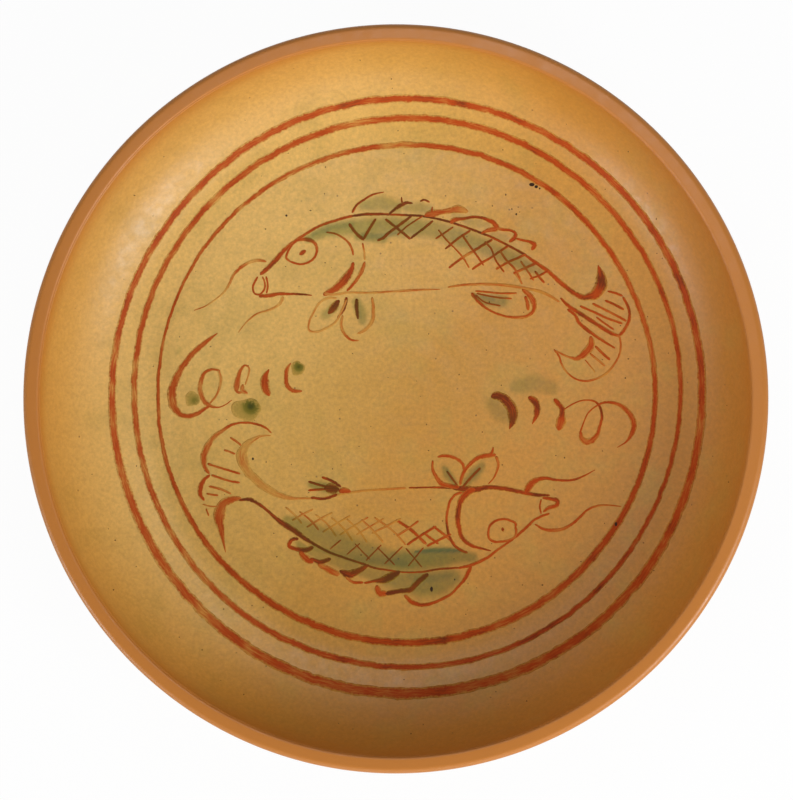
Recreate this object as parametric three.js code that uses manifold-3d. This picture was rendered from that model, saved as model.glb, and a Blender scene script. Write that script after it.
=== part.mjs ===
// A wheel-thrown stoneware dish: a turned clay body on a foot ring, a glaze coat in three fields,
// and overglaze enamel painted on it: three bands, two fish head to tail, and sprays of water weed.
// Millimetres, +Z up, origin on the axis at the level that the foot stands on.
import * as THREE from "three";
import { mergeVertices } from "three/addons/utils/BufferGeometryUtils.js";
import Module from "manifold-3d";

// Driving dimensions of the thrown pot
const rimDiameter = 300;
const innerDepth = 35;
const floorThickness = 8.5;
const wallThickness = 7;
const cavettoRadius = 44;
const lipInnerRadius = 1.2;
const lipOuterRadius = 2.5;

// Driving dimensions of the foot ring and the underside around it
const footDiameter = 164;
const footHeight = 8.5;
const footWall = 8;
const footDraft = 0.8;
const footChamfer = 1.2;
const undersideRun = 25;

// Driving dimensions of the glaze and the enamels, with distances along the glazed surface
const glazeThickness = 0.4;
const bareClayAtFoot = 4;
const enamelThickness = 0.15;
const floorEdgeToFirstBand = 0.6;
const innerBandWidth = 2.7;
const innerToMiddleGap = 7.6;
const middleBandWidth = 2.8;
const middleToOuterGap = 6.2;
const outerBandWidth = 4;

// The painting keeps this much clear of the flat floor's edge.
const paintingMargin = 0.7;

// Fineness of the facets
const turnSegments = 60;
const cavettoSteps = 6;
const outerWallSteps = 5;
const lipSteps = 3;
const strokeStep = 7;
const ringSegments = 12;

// Sizes that follow from the driving dimensions
const lipInnerFillet = Math.min(lipInnerRadius, 0.3 * wallThickness);
const lipOuterFillet = Math.min(lipOuterRadius, 0.55 * wallThickness);
const rimRadius = rimDiameter / 2;
const footRadius = footDiameter / 2;
const floorTop = footHeight + floorThickness;
const rimTop = floorTop + innerDepth;
const outerWallRadius = cavettoRadius + wallThickness;
const sweepCentreZ = floorTop + cavettoRadius;
const lipOuterCentre = new THREE.Vector2(rimRadius - lipOuterFillet, rimTop - lipOuterFillet);
const lipToSweep = sweepCentreZ - lipOuterCentre.y;
const floorRadius = lipOuterCentre.x - Math.sqrt((outerWallRadius - lipOuterFillet) ** 2 - lipToSweep ** 2);
const sweepCentre = new THREE.Vector2(floorRadius, sweepCentreZ);
const innerEndAngle = Math.acos((sweepCentreZ - rimTop + lipInnerFillet) / (cavettoRadius + lipInnerFillet));
const outerEndAngle = Math.atan2(lipOuterCentre.x - floorRadius, lipToSweep);
const lipInnerCentre = new THREE.Vector2(
  floorRadius + (cavettoRadius + lipInnerFillet) * Math.sin(innerEndAngle),
  rimTop - lipInnerFillet,
);
const springingReach = Math.max(0, footRadius + undersideRun - floorRadius);
const springingAngle = Math.asin(springingReach / (outerWallRadius - glazeThickness));

// Fired materials
const clay = { color: 0x8c6c4c, roughness: 0.85, metalness: 0 };
const glaze = { color: 0xc39a58, roughness: 0.35, metalness: 0 };
const brownedGlaze = { color: 0xa06a34, roughness: 0.4, metalness: 0 };
const ironRed = { color: 0xa8431a, roughness: 0.45, metalness: 0 };
const copperGreen = { color: 0x6d6a2c, roughness: 0.4, metalness: 0 };

const wasm = await Module();
wasm.setup();

const dish = new THREE.Group();

function addPiece(name, geometry, finish, height = 0) {
  const piece = new THREE.Mesh(geometry, new THREE.MeshStandardMaterial(finish));
  piece.name = name;
  piece.position.z = height;
  dish.add(piece);
}

function spread(from, to, steps) {
  return Array.from({ length: steps + 1 }, (_, k) => from + ((to - from) * k) / steps);
}

// A station is a point of the finished surface with the direction that faces out of the clay there.
// Angles turn from straight down, through outwards, to straight up.
function arcStation(centre, radius, angle, facing) {
  const out = new THREE.Vector2(Math.sin(angle), -Math.cos(angle));
  return { point: centre.clone().addScaledVector(out, radius), normal: out.multiplyScalar(facing) };
}

function cavettoStation(angle) {
  return arcStation(sweepCentre, cavettoRadius, angle, -1);
}

// The finished surface lifted by an enamel's height, or sunk by the glaze's thickness to the clay.
function lift(stations, height) {
  return stations.map((at) => at.point.clone().addScaledVector(at.normal, height));
}

// Each band's lower and upper edge as angles of the cavetto, counted along the surface.
function bandAngles() {
  const innerStart = floorEdgeToFirstBand;
  const middleStart = innerStart + innerBandWidth + innerToMiddleGap;
  const outerStart = middleStart + middleBandWidth + middleToOuterGap;
  const lengths = {
    red_band_inner: [innerStart, innerStart + innerBandWidth],
    red_band_middle: [middleStart, middleStart + middleBandWidth],
    red_band_outer: [outerStart, outerStart + outerBandWidth],
  };
  const toAngles = ([name, edges]) => [name, edges.map((length) => length / cavettoRadius)];
  return Object.fromEntries(Object.entries(lengths).map(toAngles));
}

// The underside runs straight from the start of the outer sweep to the top corner of the foot ring.
function glazeLineStation(springing) {
  const corner = new THREE.Vector2(footRadius, footHeight);
  const [start] = lift([springing], -glazeThickness);
  const along = start.sub(corner).normalize();
  const normal = new THREE.Vector2(along.y, -along.x);
  const point = corner.addScaledVector(along, bareClayAtFoot).addScaledVector(normal, glazeThickness);
  return { point, normal };
}

// From the glaze line under the dish, up the outside to the lip
function outsideStations() {
  const rise = spread(springingAngle, outerEndAngle, outerWallSteps).map((a) =>
    arcStation(sweepCentre, outerWallRadius, a, 1),
  );
  return [glazeLineStation(rise[0]), ...rise];
}

// Over the lip: a round outer corner, a flat top and a tight inner corner
function lipStations(outerEnd) {
  const outer = spread(outerEndAngle, Math.PI, lipSteps + 1).slice(1);
  const inner = spread(Math.PI, Math.PI + innerEndAngle, lipSteps);
  return [
    outerEnd,
    ...outer.map((a) => arcStation(lipOuterCentre, lipOuterFillet, a, 1)),
    ...inner.map((a) => arcStation(lipInnerCentre, lipInnerFillet, a, 1)),
  ];
}

// Down the inside to the centre of the floor, with stations on every band's edges
function insideStations(innerEnd, bands) {
  const edges = Object.values(bands).flat();
  const clearance = 1.5 / cavettoRadius;
  const clearOf = (a) => ([low, high]) => a < low - clearance || a > high + clearance;
  const clearOfBands = (a) => Object.values(bands).every(clearOf(a));
  const steps = spread(0, innerEndAngle, cavettoSteps).slice(1, -1).filter(clearOfBands);
  const angles = [0, ...steps, ...edges].sort((a, b) => b - a);
  const centre = { point: new THREE.Vector2(0, floorTop), normal: new THREE.Vector2(0, 1) };
  return [innerEnd, ...angles.map(cavettoStation), centre];
}

function turned(profile) {
  return new THREE.LatheGeometry(profile, turnSegments).rotateX(Math.PI / 2);
}

function closedRing(profile) {
  return turned([...profile, profile[0].clone()]);
}

// A coat of glaze meets the clay on the very same facets: its profile runs along the clay in the clay's
// own direction, and its faces are then turned round to point out.
function glazeCoat(stations, turnProfile) {
  const coat = turnProfile([...lift(stations, 0).reverse(), ...lift(stations, -glazeThickness)]);
  const corners = coat.index.array;
  for (let k = 0; k < corners.length; k += 3) {
    [corners[k], corners[k + 1]] = [corners[k + 1], corners[k]];
  }
  return coat;
}

function footProfile() {
  const chamfer = Math.min(footChamfer, footWall / 4);
  const outer = footRadius;
  const inner = footRadius - footWall;
  return [
    new THREE.Vector2(inner + footDraft + chamfer, 0),
    new THREE.Vector2(outer - footDraft - chamfer, 0),
    new THREE.Vector2(outer - footDraft, chamfer),
    new THREE.Vector2(outer, footHeight),
    new THREE.Vector2(inner, footHeight),
    new THREE.Vector2(inner + footDraft, chamfer),
  ];
}

const bands = bandAngles();
const outside = outsideStations();
const lip = lipStations(outside.at(-1));
const inside = insideStations(lip.at(-1), bands);

const clayProfile = [
  new THREE.Vector2(0, footHeight),
  new THREE.Vector2(footRadius, footHeight),
  ...lift([...outside, ...lip.slice(1), ...inside.slice(1)], -glazeThickness),
];
addPiece("thrown_body", turned(clayProfile), clay);
addPiece("foot_ring", closedRing(footProfile()), clay);

addPiece("inner_glaze", glazeCoat(inside, turned), glaze);
addPiece("lip_glaze", glazeCoat(lip, closedRing), brownedGlaze);
addPiece("outer_glaze", glazeCoat(outside, closedRing), glaze);

for (const [name, [low, high]] of Object.entries(bands)) {
  const edges = [cavettoStation(high), cavettoStation(low)];
  const section = [...lift(edges, enamelThickness), ...lift(edges, 0).reverse()];
  addPiece(name, closedRing(section), ironRed);
}

// The upper fish swims to the left.
const upperFish = {
  body: [
    [[-58, 51.2, 1.6], [-51.2, 57.4, 2.2], [-42.9, 65.5, 1.6], [-33, 71.2, 1.5], [-18.5, 75.4, 1.3],
      [0, 75.5, 1.1], [14.5, 74, 1.4], [28.9, 69.6, 0.9], [44.3, 62.8, 0.9], [56.2, 55.3, 1.2],
      [69.8, 44.3, 1.8], [76, 41, 2.2]],
    [[-32, 43, 1.6], [-22, 43.4, 1.8], [-12, 43.6, 1.3], [8, 44.7, 1], [34, 47, 1.1], [47, 46, 1],
      [57.3, 43.9, 1.1], [65.5, 39.8, 1.4], [73.3, 35.1, 1.6], [84, 28.2, 1.7], [90, 25.4, 1.3]],
  ],
  head: [
    [[-58.6, 51, 1], [-61, 46, 0.9], [-59.3, 43.2, 1], [-56.6, 44.6, 0.9], [-56.2, 48, 0.8],
      [-57.3, 51.4, 0.8]],
    [[-59.4, 42.8, 1.2], [-50, 43.2, 1.6], [-43, 43.1, 1.1], [-36.5, 42.7, 0.7]],
    [[-30.5, 68.6, 0.7], [-23.7, 66.3, 0.9], [-19.6, 61, 1.2], [-19.2, 56, 1.8], [-22.6, 49.1, 3],
      [-31.8, 42.9, 1.4]],
    [[-14.9, 64, 0.8], [-14.6, 58, 1.2], [-18.5, 48, 1.4], [-21.7, 43.6, 1.2]],
  ],
  barbels: [
    [[-54, 55.2, 0.8], [-58.5, 57.1, 1.3], [-63.5, 55.6, 1.4], [-68.9, 51.2, 1.2], [-73.6, 43.4, 0.9],
      [-80.3, 38.5, 0.6], [-85.5, 36.5, 0.5]],
    [[-48.4, 43, 1.2], [-49.7, 39.3, 1], [-55.4, 36.2, 0.8], [-62.1, 33.1, 0.7], [-67, 27.6, 0.5]],
  ],
  tail: [
    [[74.5, 41.4, 1.8], [79.5, 42, 3.8], [82.6, 46, 4.6], [82.6, 50, 3.2], [81.2, 54.5, 0.5]],
    [[84, 44.8, 0.7], [91.4, 41.8, 0.6], [93.8, 36.3, 0.8], [93.6, 31.5, 1.2], [89.6, 25.4, 1.2]],
    [[69.5, 37.6, 1.2], [73.3, 31.3, 1.4], [78.9, 26.5, 1.3], [88.1, 20.6, 0.8]],
    [[89.8, 25.6, 1], [90.4, 21, 0.9], [87.6, 13.9, 0.9], [81.5, 8.6, 0.9], [76.4, 7.3, 0.9],
      [68.7, 10.6, 0.8], [65.2, 17.5, 0.8], [63.4, 20, 0.7]],
    [[64.2, 19.4, 0.8], [69.7, 17, 1], [74.8, 17.7, 2.2], [78, 22, 2.8], [78.5, 27, 1.6]],
    [[78, 40.8, 1], [86.6, 35, 1], [93.2, 31.7, 0.8]],
    [[82.2, 43, 1], [93.6, 36, 0.8]],
    [[78.6, 22.8, 1], [86.1, 15.9, 0.8]],
    [[77, 19.4, 0.8], [83.6, 13.4, 0.7]],
  ],
  fins: [
    [[-19.8, 75.2, 1.2], [-18, 79.5, 1], [-11.2, 83.9, 0.9], [-6, 85, 0.6]],
    [[-4.8, 75.4, 1.1], [-2, 77.8, 1.2], [1.2, 80, 1.8], [5, 80.2, 0.8]],
    [[9.6, 74.8, 1.6], [13.5, 75.6, 3], [19.7, 77, 1.8], [27, 77, 1.2]],
    [[20.7, 72, 1.8], [25.9, 73.7, 1.7], [33.1, 74.3, 1.3], [38, 72.3, 2], [39.6, 70, 2],
      [33.9, 67.6, 1.2]],
    [[39.6, 69.9, 1.4], [45.5, 68.8, 1.1], [47.4, 66.6, 1.5], [45.4, 62.8, 1.4]],
    [[47, 65.8, 1.2], [53.2, 64.2, 1.1], [55.2, 62.7, 1.8], [54, 60.8, 1.6]],
    [[-13, 43.8, 1], [-11.4, 37, 1.4], [-13.5, 29.3, 1.4], [-17, 27.1, 0.8]],
    [[-22, 43.6, 1], [-24.2, 36, 1.2], [-24.2, 30, 1.2], [-22.4, 25.8, 1.1], [-17.5, 24, 0.7]],
    [[-18, 43.6, 1.2], [-17.5, 33.5, 1.4]],
    [[-24.5, 43.2, 1.4], [-28.8, 36, 2.4]],
    [[-28, 43, 0.9], [-33, 39.8, 0.8], [-37.8, 29.5, 1.2], [-35.5, 27, 1.4], [-30.9, 28.9, 0.9],
      [-24, 34, 1]],
    [[29.4, 43.4, 1.8], [32.5, 39.6, 1.5], [39.7, 34.9, 1], [48.5, 33.3, 1.2], [54.2, 35.5, 2],
      [54.6, 39.5, 2.4], [50, 46, 1.4]],
    [[29.6, 43.4, 1.4], [38, 43.4, 0.9], [47.5, 43.2, 0.6]],
    [[30.2, 42.4, 1.2], [39.2, 41.2, 0.8], [45.9, 41, 0.6]],
  ],
  scales: [
    [[4.7, 75, 1], [-5.6, 67.3, 1.2]],
    [[13, 74, 1], [4, 65.5, 1]],
    [[-6.1, 75.4, 1], [0, 69, 1], [4.6, 65, 1]],
    [[27, 70.2, 1], [19.1, 62, 1]],
    [[17, 73.6, 0.8], [22.7, 61.5, 0.9]],
    [[38, 65.8, 1], [30.5, 60.7, 1.2], [20.2, 53.8, 0.8]],
    [[26.3, 70.4, 0.9], [30.8, 60, 1]],
    [[46, 62, 0.9], [37.7, 58, 1.1], [30, 53.3, 0.8]],
    [[37.9, 65.6, 0.8], [42.8, 51.8, 0.9]],
    [[51.6, 58.8, 1], [39.8, 53.3, 1]],
    [[56.2, 55.4, 1.1], [46.6, 51.3, 1.2]],
    [[47, 52, 1.2], [50, 46, 1.2]],
    [[60.4, 52.4, 0.9], [53.7, 49.2, 0.8]],
  ],
  eye: [-40.6, 60.5, 6.2, 5.2, 1.1],
  pupil: [-40.2, 60.3, 1.3, 0.8],
};

// The lower fish swims to the right.
const lowerFish = {
  body: [
    [[61.1, -47, 1], [55, -49.6, 1.2], [48.8, -55.2, 1.3], [43.7, -59.3, 1.2], [36, -64.9, 1.1],
      [27.8, -68.5, 1.3], [14.5, -70.2, 0.9], [0, -71, 0.8], [-15.5, -67.7, 0.8], [-31, -62.3, 1],
      [-40.3, -56.9, 1.8], [-48.5, -51.4, 2.2], [-55.2, -45.8, 1.4], [-60.5, -42.2, 1.5],
        [-66.8, -41.6, 1.2]],
    [[61.1, -39.5, 1.2], [52.9, -38.7, 1.7], [43.2, -36.8, 1.9], [35, -36.4, 1.9], [27.3, -37, 2.6],
      [14.5, -36.3, 1], [1, -36.6, 0.9], [-15.5, -37.8, 0.8], [-26.3, -39.6, 1], [-38.7, -41, 1.2],
      [-47.6, -40.2, 2], [-55.9, -36.5, 3]],
  ],
  head: [
    [[59.8, -39.3, 1.2], [64.6, -42, 1.6], [59.2, -45.6, 1.2], [58.4, -48, 1]],
    [[57.8, -39.4, 0.8], [57.3, -43.5, 0.8], [58.2, -48.2, 0.8]],
    [[31, -37.3, 3], [26.5, -39.6, 2.7], [24, -45, 2.3], [24.2, -52.6, 2], [27.3, -58.8, 1.5],
      [38.4, -62.8, 0.7]],
    [[25.7, -37.8, 1], [20.9, -41.4, 1], [19.2, -48.5, 1.1], [20.4, -56.7, 1.1], [29, -64, 1]],
  ],
  barbels: [
    [[51.9, -38.4, 2.4], [54.5, -34.4, 2.2], [59.6, -32.4, 1.4], [67.3, -33.3, 1], [75.5, -31.4, 0.7],
      [79.6, -29.1, 0.5]],
    [[54.3, -50.4, 0.8], [58, -52.8, 1.2], [63.2, -53.7, 1.3], [70.8, -50.9, 1.1], [77, -45.2, 1],
      [85, -43.3, 0.8], [90, -43.7, 0.5]],
  ],
  tail: [
    [[-54, -37.5, 2.6], [-59.5, -33.5, 3], [-64.5, -27.5, 3.6], [-65.3, -22.6, 3.2], [-62.5, -18, 2],
      [-53.6, -14.6, 0.8]],
    [[-53.6, -14.3, 0.8], [-57.5, -11.2, 1], [-65.3, -9.8, 1], [-74.1, -13.4, 1.2], [-80.2, -20.6, 2.2],
      [-81.3, -26, 2.4], [-78.6, -32, 1.4]],
    [[-78, -31, 1], [-81.8, -34, 1.8], [-82.7, -38.5, 1.8], [-81.2, -42, 1], [-76, -44.3, 0.8],
      [-73, -43.4, 1]],
    [[-65, -41.5, 1.3], [-70, -41.7, 2.5], [-74, -45, 3.6], [-74.8, -50, 3.6], [-73.8, -56, 2],
      [-72.5, -63, 0.5]],
    [[-64, -23.4, 1], [-73.1, -20.6, 0.8]],
    [[-64, -29.4, 1], [-80, -26.8, 0.8]],
    [[-78.3, -31.4, 1], [-69, -34.2, 0.8], [-61, -33, 0.8]],
  ],
  fins: [
    [[25.2, -36.5, 1.8], [25.4, -32.7, 1.3], [29.3, -26.3, 1.3], [36, -23.4, 1.8], [39.4, -24.4, 1.4],
      [40.4, -28, 1], [36.3, -36, 0.8]],
    [[37, -23.6, 1.8], [38.3, -19.9, 0.5]],
    [[23.5, -36.5, 1], [17, -34.7, 1.8], [13.6, -29.5, 1.8], [14.3, -25.3, 1], [18, -23.3, 1.2],
      [23.7, -24.8, 1.2], [26.6, -29.8, 1.3]],
    [[19.6, -30.1, 0.7], [24.3, -36.3, 0.7]],
    [[32.9, -28.6, 1], [25.7, -36.3, 1]],
    [[-32, -32.4, 1], [-27, -34.6, 1.6], [-22.7, -38.6, 2.4]],
    [[-37.7, -34.8, 0.8], [-29, -36.8, 1.2], [-23.5, -38.8, 2]],
    [[-36.7, -40.9, 1], [-24, -39.2, 1.6]],
    [[-41.2, -56.8, 1.4], [-45.4, -59, 1.6], [-44.5, -61.5, 1.5], [-38.7, -62.5, 1.8], [-36.3, -60, 1.5]],
    [[-40.5, -62.8, 2.2], [-36, -66, 1.8], [-31, -67, 1.6], [-27.5, -63.8, 1.2]],
    [[-33, -67, 1.8], [-27, -71.5, 1.6], [-20.6, -72, 2.6], [-14.5, -68.2, 1.2]],
    [[-22, -72, 1.2], [-17, -75.5, 1.2], [-8, -74.6, 1.6], [-4, -73.2, 3], [-0.5, -71, 1.6]],
    [[-9.5, -74.6, 1.4], [-8, -79.5, 2.2], [0, -79, 1.8], [5, -77.8, 1.8], [11.4, -70.8, 1.8]],
    [[3, -78.6, 1.6], [9.3, -84.3, 2], [20, -80.3, 1.3], [26.8, -73.6, 1.1], [29.2, -68, 1.6]],
  ],
  scales: [
    [[14, -52.2, 0.9], [22.4, -59.3, 0.9]],
    [[14.8, -52.3, 1], [3, -59.8, 0.9]],
    [[21, -55.4, 0.9], [11.4, -60.2, 0.8]],
    [[-1.5, -49.6, 1.2], [10.6, -59.4, 1.2]],
    [[7.3, -50.4, 0.9], [-5, -58.8, 0.9]],
    [[-10.3, -48.9, 0.9], [2.1, -59.9, 0.9]],
    [[0.4, -49.3, 0.8], [-12.4, -55.8, 0.8]],
    [[-15.5, -49.9, 0.8], [-7.2, -58.7, 0.8]],
  ],
  eye: [42, -53.8, 5.8, 4.6, 1],
  pupil: [42.2, -53.5, 1, 1],
};

const weeds = {
  left_weed_curl: [
    [[-75.7, 27.2, 0.5], [-82.5, 21.8, 2], [-88.2, 16.1, 2.4], [-92.9, 8.4, 3.1], [-94.7, -0.4, 3.5],
      [-92.5, -5.2, 2.7], [-88.2, -7, 2.1], [-84.6, -6.3, 1.9], [-78.5, -2.8, 1.2]],
    [[-74.6, 11.5, 0.9], [-77.8, 12.3, 1], [-80.9, 10.9, 1.4], [-83, 4.5, 2], [-81.5, -0.8, 2],
      [-77.8, -3.2, 1.1], [-73.5, -3, 0.6], [-69.7, -0.4, 0.5]],
    [[-75, 11.8, 0.9], [-74.4, 8.4, 1.2], [-75.5, 3, 0.8], [-79.5, -2.6, 0.8]],
  ],
  left_weed_leaf_1: [
    [[-67.9, 3.2, 2.4], [-67.3, 7.8, 2.2], [-65.6, 12.5, 1.2], [-63.6, 13.6, 0.8],
      [-62.9, 9.9, 0.8], [-64.2, 6, 0.7]],
    [[-68.4, 3, 2], [-63.6, 2.6, 1.3]],
  ],
  left_weed_leaf_2: [[[-54.3, 12.2, 0.6], [-56, 8, 3.2], [-55.6, 4, 3.2], [-54.3, 1.2, 1.8]]],
  left_weed_leaf_3: [[[-45.2, 14.8, 0.6], [-47.2, 10.5, 1.8], [-47, 6, 1.8], [-44.5, 3.5, 1.8],
    [-40.8, 3.2, 1]]],
  right_weed_leaf_1: [[[37.6, 0.8, 2.4], [41.5, 0.8, 3.4], [45, -2.5, 3.7], [46.4, -7, 3.4],
    [45, -12.2, 0.7]]],
  right_weed_leaf_2: [[[52.9, 0.8, 1.9], [56, -2.2, 2.6], [56.3, -6, 2.2], [54.4, -10.1, 0.6]]],
  right_weed_curl: [
    [[63.3, 0, 1.8], [65.8, -3, 2], [66.4, -6.6, 2.3], [65.9, -9.7, 3.6], [65.1, -12.7, 2]],
    [[66, -4.6, 0.8], [73.8, -0.9, 0.7], [78.5, -0.6, 0.7], [82.2, -4, 1], [82.6, -8.5, 1.2],
      [80.7, -14.7, 1.8],
      [77.5, -17.5, 2.2], [74.6, -16.2, 2], [74, -13.2, 0.9]],
    [[74.1, -13.8, 0.8], [75.3, -9.7, 0.7], [79, -4, 0.7], [84.5, -1.4, 1.1], [90.6, -2.8, 1.7],
      [95, -7.6, 2.1],
      [95.6, -12, 2.1], [92.6, -17.5, 0.8], [89.5, -19.5, 0.5]],
  ],
};

const greenDots = { green_dot_left: [-86.1, 0, 2.7, 2.7], green_dot_middle: [-63.7, -4.5, 5.2, 4.1],
  green_dot_right: [-42.4, 13, 2.4, 2.4] };

// The drawing is fitted to the flat floor by its farthest point, with half the brush's width there.
function allStrokes(fish) {
  return [fish.body, fish.head, fish.barbels, fish.tail, fish.fins, fish.scales].flat();
}

const everyStroke = [...allStrokes(upperFish), ...allStrokes(lowerFish), ...Object.values(weeds).flat()];
const drawnPoints = everyStroke.flat();
const drawnReach = Math.max(...drawnPoints.map(([x, y, width]) => Math.hypot(x, y) + width / 2));
const paintingScale = (floorRadius - paintingMargin) / drawnReach;

// A brush stroke is a spline through [x, y, width] points of the drawing, flat on the floor's glaze.
function stroke(points) {
  const scaled = points.map((at) => new THREE.Vector3(...at).multiplyScalar(paintingScale));
  const spline = new THREE.CatmullRomCurve3(scaled, false, "centripetal");
  const steps = Math.max(points.length, Math.ceil(spline.getLength() / (strokeStep * paintingScale)));
  const path = spread(0, 1, steps).map((t) => spline.getPoint(t));
  const side = (turn) => path.map((at, k) => edgePoint(path, at, k, turn));
  return enamel(new THREE.Shape([...side(-1), ...side(1).reverse()]));
}

function edgePoint(path, at, k, turn) {
  const before = path[Math.max(k - 1, 0)];
  const after = path[Math.min(k + 1, path.length - 1)];
  const along = new THREE.Vector2(after.x - before.x, after.y - before.y).normalize();
  return new THREE.Vector2(at.x - (along.y * turn * at.z) / 2, at.y + (along.x * turn * at.z) / 2);
}

// An oval brush ring, such as an eye's outline, or a filled dot when it has no width.
function oval([x, y, radiusX, radiusY, width = 0]) {
  const [cx, cy, rx, ry, half] = [x, y, radiusX, radiusY, width / 2].map((v) => v * paintingScale);
  const outline = new THREE.Shape();
  outline.absellipse(cx, cy, rx + half, ry + half, 0, 2 * Math.PI);
  if (half > 0) {
    const hole = new THREE.Path();
    hole.absellipse(cx, cy, rx - half, ry - half, 0, 2 * Math.PI);
    outline.holes.push(hole);
  }
  return enamel(outline);
}

function enamel(shape) {
  const options = { depth: enamelThickness, bevelEnabled: false, curveSegments: ringSegments };
  return new THREE.ExtrudeGeometry(shape, options);
}

function toSolid(geometry) {
  geometry.deleteAttribute("normal");
  geometry.deleteAttribute("uv");
  const merged = mergeVertices(geometry);
  const mesh = { numProp: 3, vertProperties: merged.attributes.position.array, triVerts: merged.index.array };
  return new wasm.Manifold(new wasm.Mesh(mesh));
}

// Strokes of one figure that run into each other are one patch of fired enamel.
function joined(geometries) {
  const mesh = geometries.map(toSolid).reduce((whole, next) => whole.add(next)).getMesh();
  const geometry = new THREE.BufferGeometry();
  geometry.setAttribute("position", new THREE.BufferAttribute(mesh.vertProperties, 3));
  geometry.setIndex(new THREE.BufferAttribute(mesh.triVerts, 1));
  geometry.computeVertexNormals();
  return geometry;
}

for (const [name, fish] of Object.entries({ upper_fish: upperFish, lower_fish: lowerFish })) {
  addPiece(name, joined([...allStrokes(fish).map(stroke), oval(fish.eye)]), ironRed, floorTop);
  addPiece(`${name}_pupil`, joined([oval(fish.pupil)]), ironRed, floorTop);
}
for (const [name, strokes] of Object.entries(weeds)) {
  addPiece(name, joined(strokes.map(stroke)), ironRed, floorTop);
}
for (const [name, dot] of Object.entries(greenDots)) {
  addPiece(name, joined([oval(dot)]), copperGreen, floorTop);
}

export default dish;
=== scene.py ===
import math

import bpy
import numpy as np
from mathutils import Matrix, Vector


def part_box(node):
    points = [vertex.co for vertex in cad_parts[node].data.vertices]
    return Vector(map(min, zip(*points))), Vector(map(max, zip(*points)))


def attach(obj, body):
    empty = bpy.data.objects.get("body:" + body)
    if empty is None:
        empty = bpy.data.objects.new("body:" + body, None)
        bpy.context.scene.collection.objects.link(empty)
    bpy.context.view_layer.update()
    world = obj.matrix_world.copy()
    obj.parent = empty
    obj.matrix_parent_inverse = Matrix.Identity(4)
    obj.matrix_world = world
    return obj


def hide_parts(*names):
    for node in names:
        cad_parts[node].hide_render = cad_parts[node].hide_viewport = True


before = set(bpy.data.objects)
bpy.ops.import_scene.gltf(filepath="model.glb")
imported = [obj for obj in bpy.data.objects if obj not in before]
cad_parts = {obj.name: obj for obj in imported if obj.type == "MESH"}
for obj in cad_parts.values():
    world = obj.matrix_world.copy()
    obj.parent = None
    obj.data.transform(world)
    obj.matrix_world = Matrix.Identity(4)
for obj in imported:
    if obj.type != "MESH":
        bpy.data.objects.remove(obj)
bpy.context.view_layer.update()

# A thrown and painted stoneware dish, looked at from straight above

MM = 0.001
TURN = 2 * math.pi

# Sizes that the solids already hold, in millimetres
rim_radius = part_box("lip_glaze")[1].x / MM
rim_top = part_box("lip_glaze")[1].z / MM
foot_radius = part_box("foot_ring")[1].x / MM
foot_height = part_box("foot_ring")[1].z / MM
floor_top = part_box("upper_fish")[0].z / MM
glaze_thickness = floor_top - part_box("inner_glaze")[0].z / MM

# The thrown wall, the lip's two round corners and the turned foot, in millimetres
cavetto_radius = 44.0
wall_thickness = 7.0
lip_inner_fillet = 1.2
lip_outer_fillet = 2.5
foot_wall = 8.0
foot_draft = 0.8
foot_chamfer = 1.2
underside_run = 25.0
bare_clay_at_foot = 4.0
middle_sag = 1.2

# The unevenness of the thrown inside: how high its swells and rings are, how far apart the rings, and how
# near the rim they die out
swell_height = 0.14
ripple_height = 0.07
ring_height = 0.05
ring_spacing = 11
calm_margin = 14
calming_run = 12

# How far the border between the painted shade side and the painted sheen side of the glaze wanders, in metres
painted_light_waver = 0.1
# The way from the side darkened as painted shade, towards the lower right, to the side paled as a painted
# sheen, towards the upper left
painted_light_side = (-0.9, 0.44, 0.0)

# Points round the axis, on pieces that need to be fine and on plain ones
fine_segments = 500
plain_segments = 360

# Sizes that follow
outer_wall_radius = cavetto_radius + wall_thickness
sweep_z = floor_top + cavetto_radius
lip_outer_centre = np.array([rim_radius - lip_outer_fillet, rim_top - lip_outer_fillet])
lip_to_sweep = sweep_z - lip_outer_centre[1]
floor_radius = lip_outer_centre[0] - math.sqrt((outer_wall_radius - lip_outer_fillet) ** 2 - lip_to_sweep**2)
sweep_centre = np.array([floor_radius, sweep_z])
inner_end = math.acos((sweep_z - rim_top + lip_inner_fillet) / (cavetto_radius + lip_inner_fillet))
outer_end = math.atan2(lip_outer_centre[0] - floor_radius, lip_to_sweep)
lip_inner_centre = np.array(
    [floor_radius + (cavetto_radius + lip_inner_fillet) * math.sin(inner_end), rim_top - lip_inner_fillet]
)
springing_reach = foot_radius + underside_run - floor_radius
springing = math.asin(springing_reach / (outer_wall_radius - glaze_thickness))


# Meshes from whole arrays


def strip(rows, columns, wrap_rows, wrap_columns, first=0):
    """Quads that join neighbouring points of a grid, whose last row or column may join the first again."""
    row = np.arange(rows if wrap_rows else rows - 1)[:, None]
    column = np.arange(columns if wrap_columns else columns - 1)[None, :]
    next_row = (row + 1) % rows
    next_column = (column + 1) % columns
    corners = [
        row * columns + column,
        row * columns + next_column,
        next_row * columns + next_column,
        next_row * columns + column,
    ]
    return np.stack(corners, axis=-1).reshape(-1, 4) + first


def make_piece(name, points, faces, attributes=None):
    """One smooth-shaded object at the origin, with its points in millimetres and its own named attributes."""
    mesh = bpy.data.meshes.new(name)
    mesh.from_pydata((points * MM).tolist(), [], faces)
    for key, values in (attributes or {}).items():
        vector = values.ndim == 2
        layer = mesh.attributes.new(key, "FLOAT_VECTOR" if vector else "FLOAT", "POINT")
        layer.data.foreach_set("vector" if vector else "value", values.astype(np.float32).ravel())
    mesh.shade_smooth()
    mesh.update()
    piece = bpy.data.objects.new(name, mesh)
    bpy.context.scene.collection.objects.link(piece)
    return piece


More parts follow.
